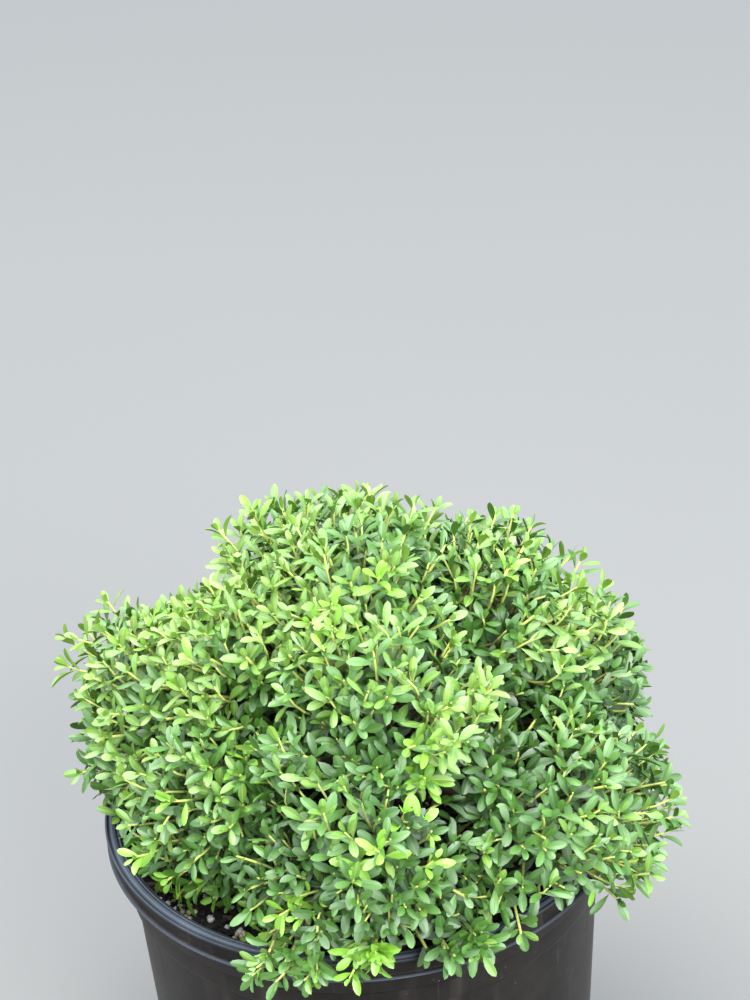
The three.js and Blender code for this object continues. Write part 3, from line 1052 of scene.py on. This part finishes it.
def hanging_shoots(mass, random):
    """Shoots that hang down outside the lip, from the masses that reach over it."""
    spread = math.hypot(mass.centre[0], mass.centre[1])
    low = mass.centre[2] <= HEART_HEIGHT + mass.size / 2 and spread + mass.size >= LIP_RADIUS + OVERHANG
    middle = math.atan2(mass.centre[1], mass.centre[0])
    angles = [middle + (i - (HANGING_COUNT - 1) / 2) * HANGING_APART for i in range(HANGING_COUNT)]
    if mass.place == "front":
        angles = [math.radians(turn) for turn in FRONT_SPRAYS]
    corners = []
    for angle in angles if low else ():
        angle += (next(random) - 0.5) * 0.06
        drop = POT_TOP + HANG_END_UP - HANG_DROP * next(random)
        turn = (math.degrees(angle) - OPEN_EDGE[0]) % 360 + OPEN_EDGE[0]
        if mass.place == "front" or turn >= OPEN_EDGE[1]:
            way = np.array([math.cos(angle), math.sin(angle), 0])
            corners.append((
                way * (spread + mass.size * 0.3) + UP * (POT_TOP + HANG_START_UP),
                way * (LIP_RADIUS + HANG_BEND_OUT) + UP * (POT_TOP + HANG_BEND_UP),
                way * (LIP_RADIUS + HANG_END_OUT) + UP * drop,
            ))
    curves = Curves(*np.array(corners).reshape(-1, 3, 3).swapaxes(0, 1))
    path = curves.at(np.linspace(0, 1, 7))
    return curves.only(mass.holds(path, TWIG_RADIUS).all(1) & clear_of_pot(path).all(1))


def fine_shoots(mass, trunks, settings, random):
    """Finer shoots that leave the main ones and fill the mass's face evenly, tips turned to the light."""
    count = round(4 * math.pi * mass.size ** 2 / settings.shoot_area / (MM * MM))
    directions = golden_directions(count, mass.seed * 1.7, -mass.inward)
    directions = unit(directions + random.normal(0, FINE_SCATTER, directions.shape))
    nearest = np.argmax(directions @ unit(trunks.end - mass.centre).T, axis=1)
    bumps = random.normal(0, FINE_BUMPS, len(trunks))[nearest]
    longer = random.uniform(0, 1, count) ** 4
    shares = FINE_REACH + FINE_LUCK * random.uniform(0, 1, count) + FINE_LONGEST * longer + bumps
    limits = mass.size * shares
    room = mass.reach(directions, limits)
    limits += swell(mass.centre + directions * limits[:, None])
    reach = mass.reach(directions, limits + 1 * MM) - 1 * MM
    tips = mass.centre + directions * reach[:, None]
    starts = trunks.only(nearest).at(random.uniform(*FINE_STARTS, (count, 1)))[:, 0]
    lift = np.clip(0.75 + directions[:, 2:3], 0.1, 1) * settings.light_seeking
    facing = unit(directions + UP * lift + random.normal(0, settings.wander, directions.shape))
    span = np.linalg.norm(tips - starts, axis=1, keepdims=True)
    curves = Curves(starts, tips - facing * span * FINE_BEND, tips)
    clear = clear_of_pot(curves.at(np.linspace(0.1, 1, 8))).all(1)
    kept = (room > mass.size * CORE_SHARE) & clear & ~over_front_edge(tips)
    kept &= (hollowness(tips) < 0.5) | (random.uniform(0, 1, count) > HOLLOW_BARE)
    return curves.only(kept)


def side_sprays(curves, random):
    """Short side shoots on the ends of hanging ones."""
    count = len(curves) * SPRAYS
    parents = curves.only(np.repeat(np.arange(len(curves)), SPRAYS))
    t = random.uniform(*SPRAY_STARTS, (count, 1))
    starts = parents.at(t)[:, 0]
    along = parents.along(t)[:, 0]
    out = unit(starts * np.array([1, 1, 0]))
    sideways = np.cross(along, out) * random.choice([-1, 1], count)[:, None]
    way = unit(along * 0.6 + sideways * 0.5 + out * 0.75 + UP * 0.25)
    span = random.uniform(*SPRAY_LENGTHS, (count, 1)) * SPRAY_LENGTH
    return Curves(starts, starts + unit(along + way) * span * 0.5, starts + way * span)


class Growth:
    """All that one mass grows: its main twigs, its leafy shoots and their leaves."""

    def __init__(self, mass, settings):
        self.mass = mass
        self.random = random = np.random.RandomState(1000 + mass.seed)
        trunks, numbers = main_shoots(mass)
        hanging = hanging_shoots(mass, numbers)
        fine = fine_shoots(mass, trunks, settings, random)
        sprays = side_sprays(hanging, random)
        self.trunks = Curves.together([trunks, hanging])
        leafy = Curves.together([fine, trunks.outer_half(), hanging.outer_half(), sprays])
        self.leafy = leafy.only(clear_of_pot(leafy.at(np.linspace(0.2, 1, 7))).all(1))
        leaves, kept = leaf_frames(self, settings)
        full = kept[:, :FIRST_LEAVES].sum(1) >= LEAST_LEAVES
        kept &= full[:, None]
        self.leaves = [part[kept] for part in leaves]
        self.leafy = self.leafy.only(full)


@functools.cache
def grow_crown():
    settings = bpy.context.scene.holly_crown
    return [Growth(mass, settings) for mass in lay_out_masses()]


def tubes(curves, radii, sides, steps, ages):
    """Closed round tubes along curves, and for each triangle how many of the ages' shares it is past."""
    radius_from, radius_to = radii
    shares = np.linspace(0, 1, steps + 1)
    centres = curves.at(shares)
    along = curves.along(shares)
    side = unit(np.cross(along, np.array([0.31, 0.17, 0.93])))
    up = np.cross(along, side)
    turn = np.arange(sides) * math.tau / sides
    radius = (radius_from + (radius_to - radius_from) * shares)[None, :, None, None]
    ring = side[:, :, None] * np.cos(turn)[:, None] + up[:, :, None] * np.sin(turn)[:, None]
    skin = (centres[:, :, None] + ring * radius).reshape(len(curves), -1, 3)
    places = np.concatenate([skin, centres[:, :1], centres[:, -1:] + along[:, -1:] * radius_to], axis=1)
    faces, slots = [], []
    foot, tip = sides * (steps + 1), sides * (steps + 1) + 1
    for i in range(sides):
        j = (i + 1) % sides
        for step in range(steps):
            low, high = step * sides, (step + 1) * sides
            faces += [(low + i, low + j, high + j), (low + i, high + j, high + i)]
            slots += [sum(step / steps >= age for age in ages)] * 2
        faces += [(foot, j, i), (tip, steps * sides + i, steps * sides + j)]
        slots += [0, len(ages)]
    return places, np.array(faces), np.array(slots)


# Leaves

# A leaf's outline: widths, as shares of the widest, at stations along its length
LEAF_STATIONS = (0, 0.1, 0.3, 0.52, 0.74, 0.91, 1)
LEAF_WIDTHS = (0, 0.17, 0.65, 0.98, 0.96, 0.62, 0)
RIB_SHARE = 0.09
KEEL = 0.055
BLADE, RIB, UNDERSIDE = 0, 1, 2

# How far back from the tip each leaf sits, its share of full length, its lean, and its youth
LEAF_BACK = np.array([0.6, 1.5, 2.7, 4.3, 6.6, 9.6, 13.4, 17.8, 22.6, 27.8, 33.2, 38.8]) * MM
LEAF_GROWN = np.array([0.5, 0.66, 0.84, 0.95, 1.02, 1.05, 1.05, 1.02, 1, 0.97, 0.94, 0.9])
LEAF_LEAN = np.radians([16, 30, 42, 50, 56, 60, 63, 66, 68, 70, 72, 74])
LEAF_YOUTH = np.array([0.9, 0.8, 0.6, 0.35, 0.1, 0, -0.1, -0.25, -0.45, -0.7, -1, -1.3])
# How unevenly leaves grow: the gaps between them, their turn, lean and facing, and their size
LEAF_GAPS = (0.85, 1.75)
TURN_SCATTER = 0.16
LEAN_SCATTER = 0.14
FACE_SCATTER = 0.22
LEAF_LENGTHS = (0.8, 1.14)
LEAF_BREADTHS = (0.86, 1.12)
# The way that blades turn to, up and a little to the front
LIGHT_FROM = np.array([-0.1, -0.25, 1])

TONES = ("deep", "mature", "mid", "fresh", "young", "lime")
LIME_LEVEL = 4.6
LIME_SHARE = 0.014
HANGING_LIME_SHARE = 0.2
# A shoot's age: how far luck and the patches of the crown change it, and where the crown's paler top starts
# and is full, in metres; the paler top is partly young growth and partly painted light
AGE_LUCK = 1.3
AGE_PATCHES = 1.7
PATCHES_PER_METRE = 27
YOUNG_AND_LIT_FROM = 0.22
YOUNG_AND_LIT_OVER = 0.12


def leaf_template(droop, fold, twist):
    """A narrow leaf, one long and one wide, lens-shaped in section, with its rib sunk in a fold.

    It starts as a grid whose rows are drawn in to the leaf's outline. A copy turned over makes the
    underside, drawn to a single keel and welded to the blade along its edge.
    """
    bm = bmesh.new()
    rows = len(LEAF_STATIONS) - 1
    bmesh.ops.create_grid(bm, x_segments=rows, y_segments=3, size=0.5)
    for face in bm.faces:
        face.material_index = RIB if abs(face.calc_center_median().y) < 0.1 else BLADE
    for vert in bm.verts:
        row = round((vert.co.x + 0.5) * rows)
        column = round((vert.co.y + 0.5) * 3)
        half = LEAF_WIDTHS[row] * 0.5
        across = (-1, -RIB_SHARE, RIB_SHARE, 1)[column]
        vert.co = (LEAF_STATIONS[row], across * half, fold * abs(across) * half)
    under = bmesh.ops.duplicate(bm, geom=bm.faces[:])["geom"]
    under = [part for part in under if isinstance(part, bmesh.types.BMFace)]
    bmesh.ops.reverse_faces(bm, faces=under)
    for face in under:
        face.material_index = UNDERSIDE
    for vert in {vert for face in under for vert in face.verts}:
        if abs(vert.co.y) < RIB_SHARE * 0.51 and 0.05 < vert.co.x < 0.99:
            vert.co.y = 0
            vert.co.z -= KEEL if vert.co.x > 0.2 else 0.05
    bmesh.ops.remove_doubles(bm, verts=bm.verts[:], dist=0.0008)
    for vert in bm.verts:
        x, y, z = vert.co
        turn = twist * x
        vert.co.y = y * math.cos(turn) - z * math.sin(turn)
        vert.co.z = y * math.sin(turn) + z * math.cos(turn)
        vert.co.z += 0.12 * math.sin(x * math.pi) * (1 - droop) - droop * x * x
    return template_of(bm)


def leaf_frames(growth, settings):
    """Every leaf of a mass, by shoot: its root, two directions, length, width and age, and which stay."""
    curves, random = growth.leafy, growth.random
    shape = (len(curves), len(LEAF_BACK))
    apart = random.uniform(*LEAF_GAPS, (len(curves), 1))
    t = 1 - LEAF_BACK[None] * apart / curves.length[:, None]
    kept = t > 0.05
    t = np.clip(t, 0, 1)
    axis = curves.along(t)
    side = unit(np.cross(axis, np.array([0.3, 0.2, 1])))
    turn = random.uniform(0, math.tau, (len(curves), 1)) + np.arange(len(LEAF_BACK)) * GOLDEN_ANGLE
    turn = (turn + random.normal(0, TURN_SCATTER, shape))[..., None]
    outward = side * np.cos(turn) + np.cross(axis, side) * np.sin(turn)
    lean = (LEAF_LEAN[None] + random.normal(0, LEAN_SCATTER, shape))[..., None]
    along = unit(axis * np.cos(lean) + outward * np.sin(lean))
    face = axis * np.sin(lean) - outward * np.cos(lean)
    face = face + LIGHT_FROM * settings.face_light
    face = face + random.normal(0, FACE_SCATTER, face.shape)
    face = unit(face - along * (face * along).sum(-1, keepdims=True))
    length = settings.leaf_length * LEAF_GROWN[None] * random.uniform(*LEAF_LENGTHS, shape)
    width = settings.leaf_width * (0.45 + 0.55 * LEAF_GROWN[None])
    width = width * random.uniform(*LEAF_BREADTHS, shape)
    root = curves.at(t) + outward * 0.5 * MM
    tip = root + along * length[..., None]
    middle = root + along * length[..., None] * 0.5
    kept &= growth.mass.holds(tip, -settings.overlap)
    kept &= growth.mass.holds(middle, -settings.overlap * 0.7)
    for points in (root, middle, tip):
        kept &= clear_of_pot(points, settings.leaf_clearance)
    return (root, along, face, length, width, leaf_tones(growth)), kept


def leaf_tones(growth):
    """Ages, and with them tones, dealt out by spray.

    There is more young growth high up, to the left and where a shoot stands out, and towards its tip. The
    tones also hold painted light and shade: they are paler high up on the upper left and the right, where a
    shoot stands out, on the pale spots and low over the lip, partly from younger leaves and partly as
    painted light, and darker low on the right and in the hollows, partly from older leaves and partly as
    painted shade.
    """
    random, tips, mass = growth.random, growth.leafy.end, growth.mass
    x, z = tips[:, 0], tips[:, 2]
    proud = (np.linalg.norm(tips - mass.centre, axis=1) - swell(tips)) / mass.size - 0.9
    height = np.clip((z - YOUNG_AND_LIT_FROM) / YOUNG_AND_LIT_OVER, 0, 1)
    left = np.clip(0.5 - x / 0.32, 0, 1)
    right = np.clip((x - 0.03) / 0.08, 0, 1)
    level = 0.1 + AGE_LUCK * random.uniform(0, 1, len(tips))
    # Paler high up, most on the upper left and the right, and darker low on the right: partly young growth,
    # partly painted light
    level += (0.9 + 2.3 * left ** 2 + 1.1 * right) * height
    level -= 0.35 * right
    # Paler where a shoot stands out: partly younger growth, partly painted light
    level += PROUD_YOUTH_AND_LIGHT * np.clip(proud, -0.2, 0.06)
    level += [AGE_PATCHES * noise.noise(Vector(tip) * PATCHES_PER_METRE) for tip in tips]
    # Paler on the pale spots and darker in the hollows: partly young and old leaves, partly painted light
    # and painted shade
    level += PALE_YOUTH_AND_LIGHT * near_spots(tips, PALE_SPOTS, SPOT_WIDTH) - HOLLOW_AGE_AND_SHADE * hollowness(tips)
    # Paler low over the lip: partly young hanging growth, partly painted light
    level += np.clip((POT_TOP + 30 * MM - z) / (20 * MM), 0, 1)
    share = np.where(z < POT_TOP + 14 * MM, HANGING_LIME_SHARE, LIME_SHARE)
    lime = random.uniform(0, 1, len(tips)) < share
    lime |= (near_spots(tips, LIME_SPOTS, SPOT_WIDTH) > 0.5) & (proud > -0.06)
    level = np.where(lime, LIME_LEVEL, level)
    tones = level[:, None] + LEAF_YOUTH + random.normal(0, 0.2, (len(tips), len(LEAF_YOUTH)))
    return np.clip(np.round(tones), 0, len(TONES) - 1).astype(int)


def laid_leaves(points, root, along, face, length, width):
    """Copies of a leaf at their roots, stretched to their lengths and widths."""
    across = np.cross(face, along)
    places = root[:, None] + points[None, :, 0:1] * (along * length[:, None])[:, None]
    places = places + points[None, :, 1:2] * (across * width[:, None])[:, None]
    return places + points[None, :, 2:3] * (face * length[:, None] * 0.5)[:, None]


def leaf_groups(growth, templates):
    """The copies of each leaf shape in each tone, with the tone's materials."""
    *parts, tones = growth.leaves
    shape = growth.random.randint(0, len(templates), len(tones))
    groups = []
    for kind, (points, faces, sides) in enumerate(templates):
        for tone in range(len(TONES)):
            chosen = (shape == kind) & (tones == tone)
            young = tone >= TONES.index("fresh")
            slots = np.choose(sides, [tone, len(TONES) + young, len(TONES) + 2 + young])
            groups.append((laid_leaves(points, *[part[chosen] for part in parts]), faces, slots))
    return groups


def leaf_materials(settings):
    """Plain greens, one for each age, then the ribs and the undersides of old and young leaves."""
    materials = []
    for name in TONES:
        shader = Shader(f"leaf_{name}", settings.leaf_roughness, getattr(settings, name))
        shader.set("Specular IOR Level", 1.0)
        shader.set("IOR", 1.6)
        materials.append(shader.material)
    return materials + [
        plain("leaf_rib_old", 0.6, 84, 124, 42),
        plain("leaf_rib_young", 0.6, 146, 172, 70),
        plain("leaf_underside_old", 0.6, 66, 106, 30),
        plain("leaf_underside_young", 0.6, 112, 148, 50),
    ]


# Stage

LIGHT_SIZE = 1.8
LIT_PLACE = Vector((0, 0, 0.25))


def studio_floor():
    bm = bmesh.new()
    bmesh.ops.create_circle(bm, cap_ends=True, segments=96, radius=9)
    mesh = mesh_of(bm, "floor")
    shader = Shader("floor", 0.8)
    tone = shader.noise(1.5, 2)
    shader.set("Base Color", shader.blend(tone * 0.3, linear(119, 118, 115), linear(112, 111, 108)))
    mesh.materials.append(shader.material)
    in_scene("floor", mesh)


def studio_light(name, place, power, colour):
    """A round soft light, turned to the crown."""
    lamp = bpy.data.lights.new(name, "AREA")
    lamp.shape = "DISK"
    lamp.size = LIGHT_SIZE
    lamp.energy = power
    lamp.color = colour
    holder = in_scene(name, lamp)
    holder.location = place
    holder.rotation_euler = (-Vector(place) + LIT_PLACE).to_track_quat("-Z", "Y").to_euler()


def overcast_sky(strength):
    """An overcast sky, brightest overhead and dim at the horizon."""
    world = bpy.data.worlds.new("soft_sky")
    world.use_nodes = True
    nodes = Nodes(world.node_tree, "Background")
    where = nodes.add("ShaderNodeTexCoord", output="Generated")
    height = nodes.add("ShaderNodeSeparateXYZ", None, {0: where}, "Z")
    share = nodes.add("ShaderNodeMapRange", None, {"Value": height, "From Min": 0.05, "From Max": 0.75})
    nodes.set("Color", nodes.blend(share, linear(113, 117, 121), linear(232, 242, 254)))
    nodes.set("Strength", strength)
    bpy.context.scene.world = world


def photo_camera():
    """A camera at the photograph's place, tilted down and rolled a little as it was."""
    camera = bpy.data.cameras.new("camera")
    camera.sensor_width = SENSOR
    camera.lens = FOCAL_PIXELS / PHOTO_HEIGHT * SENSOR
    camera.clip_start = 0.05
    camera.clip_end = 50
    forward = Vector((0, math.cos(CAMERA_PITCH), -math.sin(CAMERA_PITCH)))
    level = Vector((1, 0, 0))
    right = level * math.cos(CAMERA_ROLL) + level.cross(forward) * math.sin(CAMERA_ROLL)
    turn = Matrix((right, right.cross(forward), -forward)).transposed()
    holder = in_scene("camera", camera)
    holder.matrix_world = Matrix.Translation(CAMERA_PLACE) @ turn.to_4x4()
    bpy.context.scene.camera = holder


# Settings


def count_property(name, description, default, most, least=1):
    return IntProperty(name=name, description=description, default=default, min=least, max=most)


def length_property(name, description, default, least, most):
    """A length, given in millimetres."""
    return FloatProperty(
        name=name, description=description, default=default * MM, min=least * MM, max=most * MM,
        unit="LENGTH",
    )


def factor_property(name, description, default, most):
    return FloatProperty(
        name=name, description=description, default=default, min=0, max=most, subtype="FACTOR",
    )


def power_property(name, description, default):
    return FloatProperty(
        name=name, description=description, default=default, min=0, max=1000, unit="POWER",
    )


def colour_property(name, description, *default):
    """A colour, given as seen on a screen."""
    return FloatVectorProperty(
        name=name, description=description, default=linear(*default), subtype="COLOR", size=3,
        min=0, max=1,
    )


class HollyPotSettings(bpy.types.PropertyGroup):
    sides: count_property("Sides", "Facets round the pot", 160, 360, least=24)
    colour: colour_property("Plastic", "Colour of the pot's plastic", 11, 10, 9)
    dust: colour_property("Dust", "Colour of the dust on the plastic", 76, 69, 65)
    # The lip's pale bluish film: partly dust, partly a painted reflection of the sky, and a painted
    # highlight along the ledge
    lip_dust_and_sheen_colour: colour_property("Lip Dust and Sheen", "Colour of the pale film on the lip", 82, 91, 102)


class HollySoilSettings(bpy.types.PropertyGroup):
    chips: count_property("Chips", "Bark chips on the mix", 2600, 8000)
    perlite: count_property(
        "Perlite", "White crumbs in the mix", 420, 2000, least=CRUMBS_PER_DRAIN * DRAIN_HOLES,
    )
    heaps: count_property("Heaps", "Heaps of fertiliser beads", 16, 80)
    colour: colour_property("Mix", "Colour of the damp potting mix", 21, 17, 14)


class HollyCrownSettings(bpy.types.PropertyGroup):
    leaf_length: length_property("Leaf Length", "Length of a full-grown leaf", 14.6, 5, 40)
    leaf_width: length_property("Leaf Width", "Width of a full-grown leaf", 4.7, 2, 20)
    shoot_area: FloatProperty(
        name="Shoot Area", description="Square millimetres of crown to each shoot", default=198,
        min=50, max=1000,
    )
    light_seeking: factor_property("Light Seeking", "How strongly shoots turn up", 0.45, 2)
    wander: factor_property("Wander", "How much the shoots' tips turn aside", 0.4, 2)
    face_light: factor_property("Face Light", "How strongly blades turn to the light", 0.5, 2)
    overlap: length_property("Overlap", "How far a leaf may reach past its mass's space", 6, 0, 20)
    leaf_clearance: length_property("Leaf Clearance", "Room between the leaves and the pot", 0.4, 0, 5)
    leaf_roughness: factor_property("Leaf Roughness", "Roughness of the blades", 0.52, 1)
    deep: colour_property("Deep", "Oldest leaves", 34, 74, 6)
    mature: colour_property("Mature", "Full-grown leaves", 51, 98, 16)
    mid: colour_property("Mid", "This season's leaves", 70, 119, 28)
    fresh: colour_property("Fresh", "Leaves near a tip", 98, 143, 42)
    young: colour_property("Young", "Leaves at a tip", 114, 150, 50)
    lime: colour_property("Lime", "Leaves just opened", 120, 178, 34)
    young_stem: colour_property("Young Stem", "Bark of shoots near their tips", 190, 200, 104)
    green_stem: colour_property("Green Stem", "Bark of shoots further in", 134, 146, 74)
    twig: colour_property("Twig", "Bark of older twigs", 98, 86, 62)
    bark: colour_property("Bark", "Bark of the stem and boughs", 92, 78, 60)


class HollyStageSettings(bpy.types.PropertyGroup):
    sky: FloatProperty(name="Sky", description="Strength of the sky's light", default=3, min=0, max=5)
    key: power_property("Key", "Power of the main soft light", 60)
    fill: power_property("Fill", "Power of the side light", 98)


# Operators


class HOLLY_OT_pot(bpy.types.Operator):
    """Build the pot with its lip, bands and drain holes"""

    bl_idname = "holly.pot"
    bl_label = "Pot"

    def execute(self, context):
        settings = context.scene.holly_pot
        whole = mesh_of(spun(pot_profile(), settings.sides), "pot_shell")
        mesh = smoothed(cut_with(whole, [drain_cutter(i) for i in range(DRAIN_HOLES)]), sharp_angle=48)
        plastic = pot_plastic(settings)
        finish_piece("pot_shell", mesh, [plastic], ["pot"])
        finish_piece("drain_frames", drain_frames(), [plastic], ["pot"])
        return {"FINISHED"}


class HOLLY_OT_soil(bpy.types.Operator):
    """Fill the pot with mix, bark chips, perlite and fertiliser beads"""

    bl_idname = "holly.soil"
    bl_label = "Potting Mix"

    def execute(self, context):
        settings = context.scene.holly_soil
        random = np.random.RandomState(41)
        mix = potting_mix(settings.colour)
        browns = [
            plain("chip_dark", 0.8, 24, 19, 16),
            plain("chip_brown", 0.8, 41, 31, 24),
            plain("chip_pale", 0.8, 84, 68, 50),
        ]
        whites = [plain("perlite", 0.9, 198, 194, 186)]
        tans = [plain("bead_tan", 0.45, 170, 160, 128), plain("bead_grey", 0.5, 138, 130, 107)]
        finish_piece("soil_bed", soil_solid(), [mix], ["soil"])
        for name, groups, sharp_angle, materials in (
            ("bark_chips", bark_chips(random, settings), 40, browns),
            ("perlite", perlite(random, settings), None, whites),
            ("fertiliser_beads", fertiliser_beads(random, settings), None, tans),
        ):
            mesh = joined_mesh(name, groups, sharp_angle)
            finish_piece(name, mesh, materials, ["soil"])
        return {"FINISHED"}


class HOLLY_OT_limbs(bpy.types.Operator):
    """Build the stem and the boughs with their bark"""

    bl_idname = "holly.limbs"
    bl_label = "Stem and Boughs"

    def execute(self, context):
        skin = bark(context.scene.holly_crown.bark)
        stem = bark_limb("stem_bark", STEM_CURVE, stem_radius_at, sides=24, steps=40, seed=3)
        finish_piece("stem_bark", stem, [skin], ["stem"])
        for mass in lay_out_masses():
            if mass.place != "top":
                name = f"bough_bark_{mass.place}"
                curve = bough_curve(mass)
                mesh = bark_limb(name, curve, bough_radius_at, sides=14, steps=22, seed=mass.seed)
                finish_piece(name, mesh, [skin], [f"bough_{mass.place}"])
        return {"FINISHED"}


class HOLLY_OT_twigs(bpy.types.Operator):
    """Grow the twigs and the green shoots of every mass"""

    bl_idname = "holly.twigs"
    bl_label = "Twigs"

    def execute(self, context):
        settings = context.scene.holly_crown
        woods = [
            Shader("twig_wood", 0.75, settings.twig).material,
            Shader("twig_green", 0.6, settings.green_stem).material,
            Shader("twig_young", 0.55, settings.young_stem).material,
        ]
        for growth in grow_crown():
            mass = growth.mass
            stem = Curves(*np.array([mass.foot, (mass.foot + mass.inside) / 2, mass.inside])[:, None])
            name = f"twigs_{mass.place}"
            mesh = joined_mesh(name, [
                tubes(stem, STEM_RADII, sides=10, steps=3, ages=()),
                tubes(growth.trunks, TRUNK_RADII, sides=6, steps=5, ages=(0.5, 0.7)),
                tubes(growth.leafy, SHOOT_RADII, sides=5, steps=5, ages=(0.1, 0.55)),
            ])
            finish_piece(name, mesh, woods, [f"foliage_{mass.place}"])
        return {"FINISHED"}


class HOLLY_OT_leaves(bpy.types.Operator):
    """Set leaves in a spiral round every shoot"""

    bl_idname = "holly.leaves"
    bl_label = "Leaves"
    most_triangles = 1_200_000

    def execute(self, context):
        templates = [
            leaf_template(droop=0.06, fold=0.3, twist=0.1),
            leaf_template(droop=0.16, fold=0.12, twist=-0.15),
            leaf_template(droop=0.26, fold=-0.18, twist=0.2),
            leaf_template(droop=0.12, fold=0.42, twist=-0.1),
            leaf_template(droop=0.36, fold=-0.3, twist=0.05),
        ]
        greens = leaf_materials(context.scene.holly_crown)
        total = 0
        for growth in grow_crown():
            place = growth.mass.place
            mesh = joined_mesh(f"leaves_{place}", leaf_groups(growth, templates), sharp_angle=55)
            total += len(mesh.polygons)
            finish_piece(f"leaves_{place}", mesh, greens, [f"foliage_{place}"])
        if total > self.most_triangles:
            raise RuntimeError(f"the leaves take {total} triangles, more than the part may have")
        return {"FINISHED"}


class HOLLY_OT_stage(bpy.types.Operator):
    """Lay the pale floor, set the soft lights and place the camera"""

    bl_idname = "holly.stage"
    bl_label = "Stage"

    def execute(self, context):
        settings = context.scene.holly_stage
        studio_floor()
        studio_light("key", (-0.4, 0.1, 2.4), settings.key, (1, 0.99, 0.96))
        studio_light("fill", (1.1, -2.1, 1.6), settings.fill, (0.98, 0.99, 1))
        overcast_sky(settings.sky)
        context.scene.view_settings.view_transform = "Standard"
        photo_camera()
        return {"FINISHED"}


class HOLLY_PT_panel(bpy.types.Panel):
    bl_idname = "HOLLY_PT_panel"
    bl_label = "Potted Japanese Holly"
    bl_space_type = "VIEW_3D"
    bl_region_type = "UI"
    bl_category = "Holly"

    def draw(self, context):
        for group, operators in PANEL_ROWS:
            box = self.layout.box()
            settings = getattr(context.scene, group)
            for name in type(settings).__annotations__:
                box.prop(settings, name)
            for operator in operators:
                box.operator(operator.bl_idname)


GROUPS = {
    "holly_pot": HollyPotSettings,
    "holly_soil": HollySoilSettings,
    "holly_crown": HollyCrownSettings,
    "holly_stage": HollyStageSettings,
}
OPERATORS = (HOLLY_OT_stage, HOLLY_OT_pot, HOLLY_OT_soil, HOLLY_OT_limbs, HOLLY_OT_twigs, HOLLY_OT_leaves)
PANEL_ROWS = (
    ("holly_pot", (HOLLY_OT_pot,)),
    ("holly_soil", (HOLLY_OT_soil,)),
    ("holly_crown", (HOLLY_OT_limbs, HOLLY_OT_twigs, HOLLY_OT_leaves)),
    ("holly_stage", (HOLLY_OT_stage,)),
)
CLASSES = (*GROUPS.values(), *OPERATORS, HOLLY_PT_panel)


def register():
    for kind in CLASSES:
        bpy.utils.register_class(kind)
    for name, kind in GROUPS.items():
        setattr(bpy.types.Scene, name, PointerProperty(type=kind))


def unregister():
    for name in GROUPS:
        delattr(bpy.types.Scene, name)
    for kind in reversed(CLASSES):
        bpy.utils.unregister_class(kind)


def main():
    register()
    for operator in OPERATORS:
        getattr(bpy.ops.holly, operator.bl_idname.split(".")[1])()


if __name__ == "__main__":
    main()
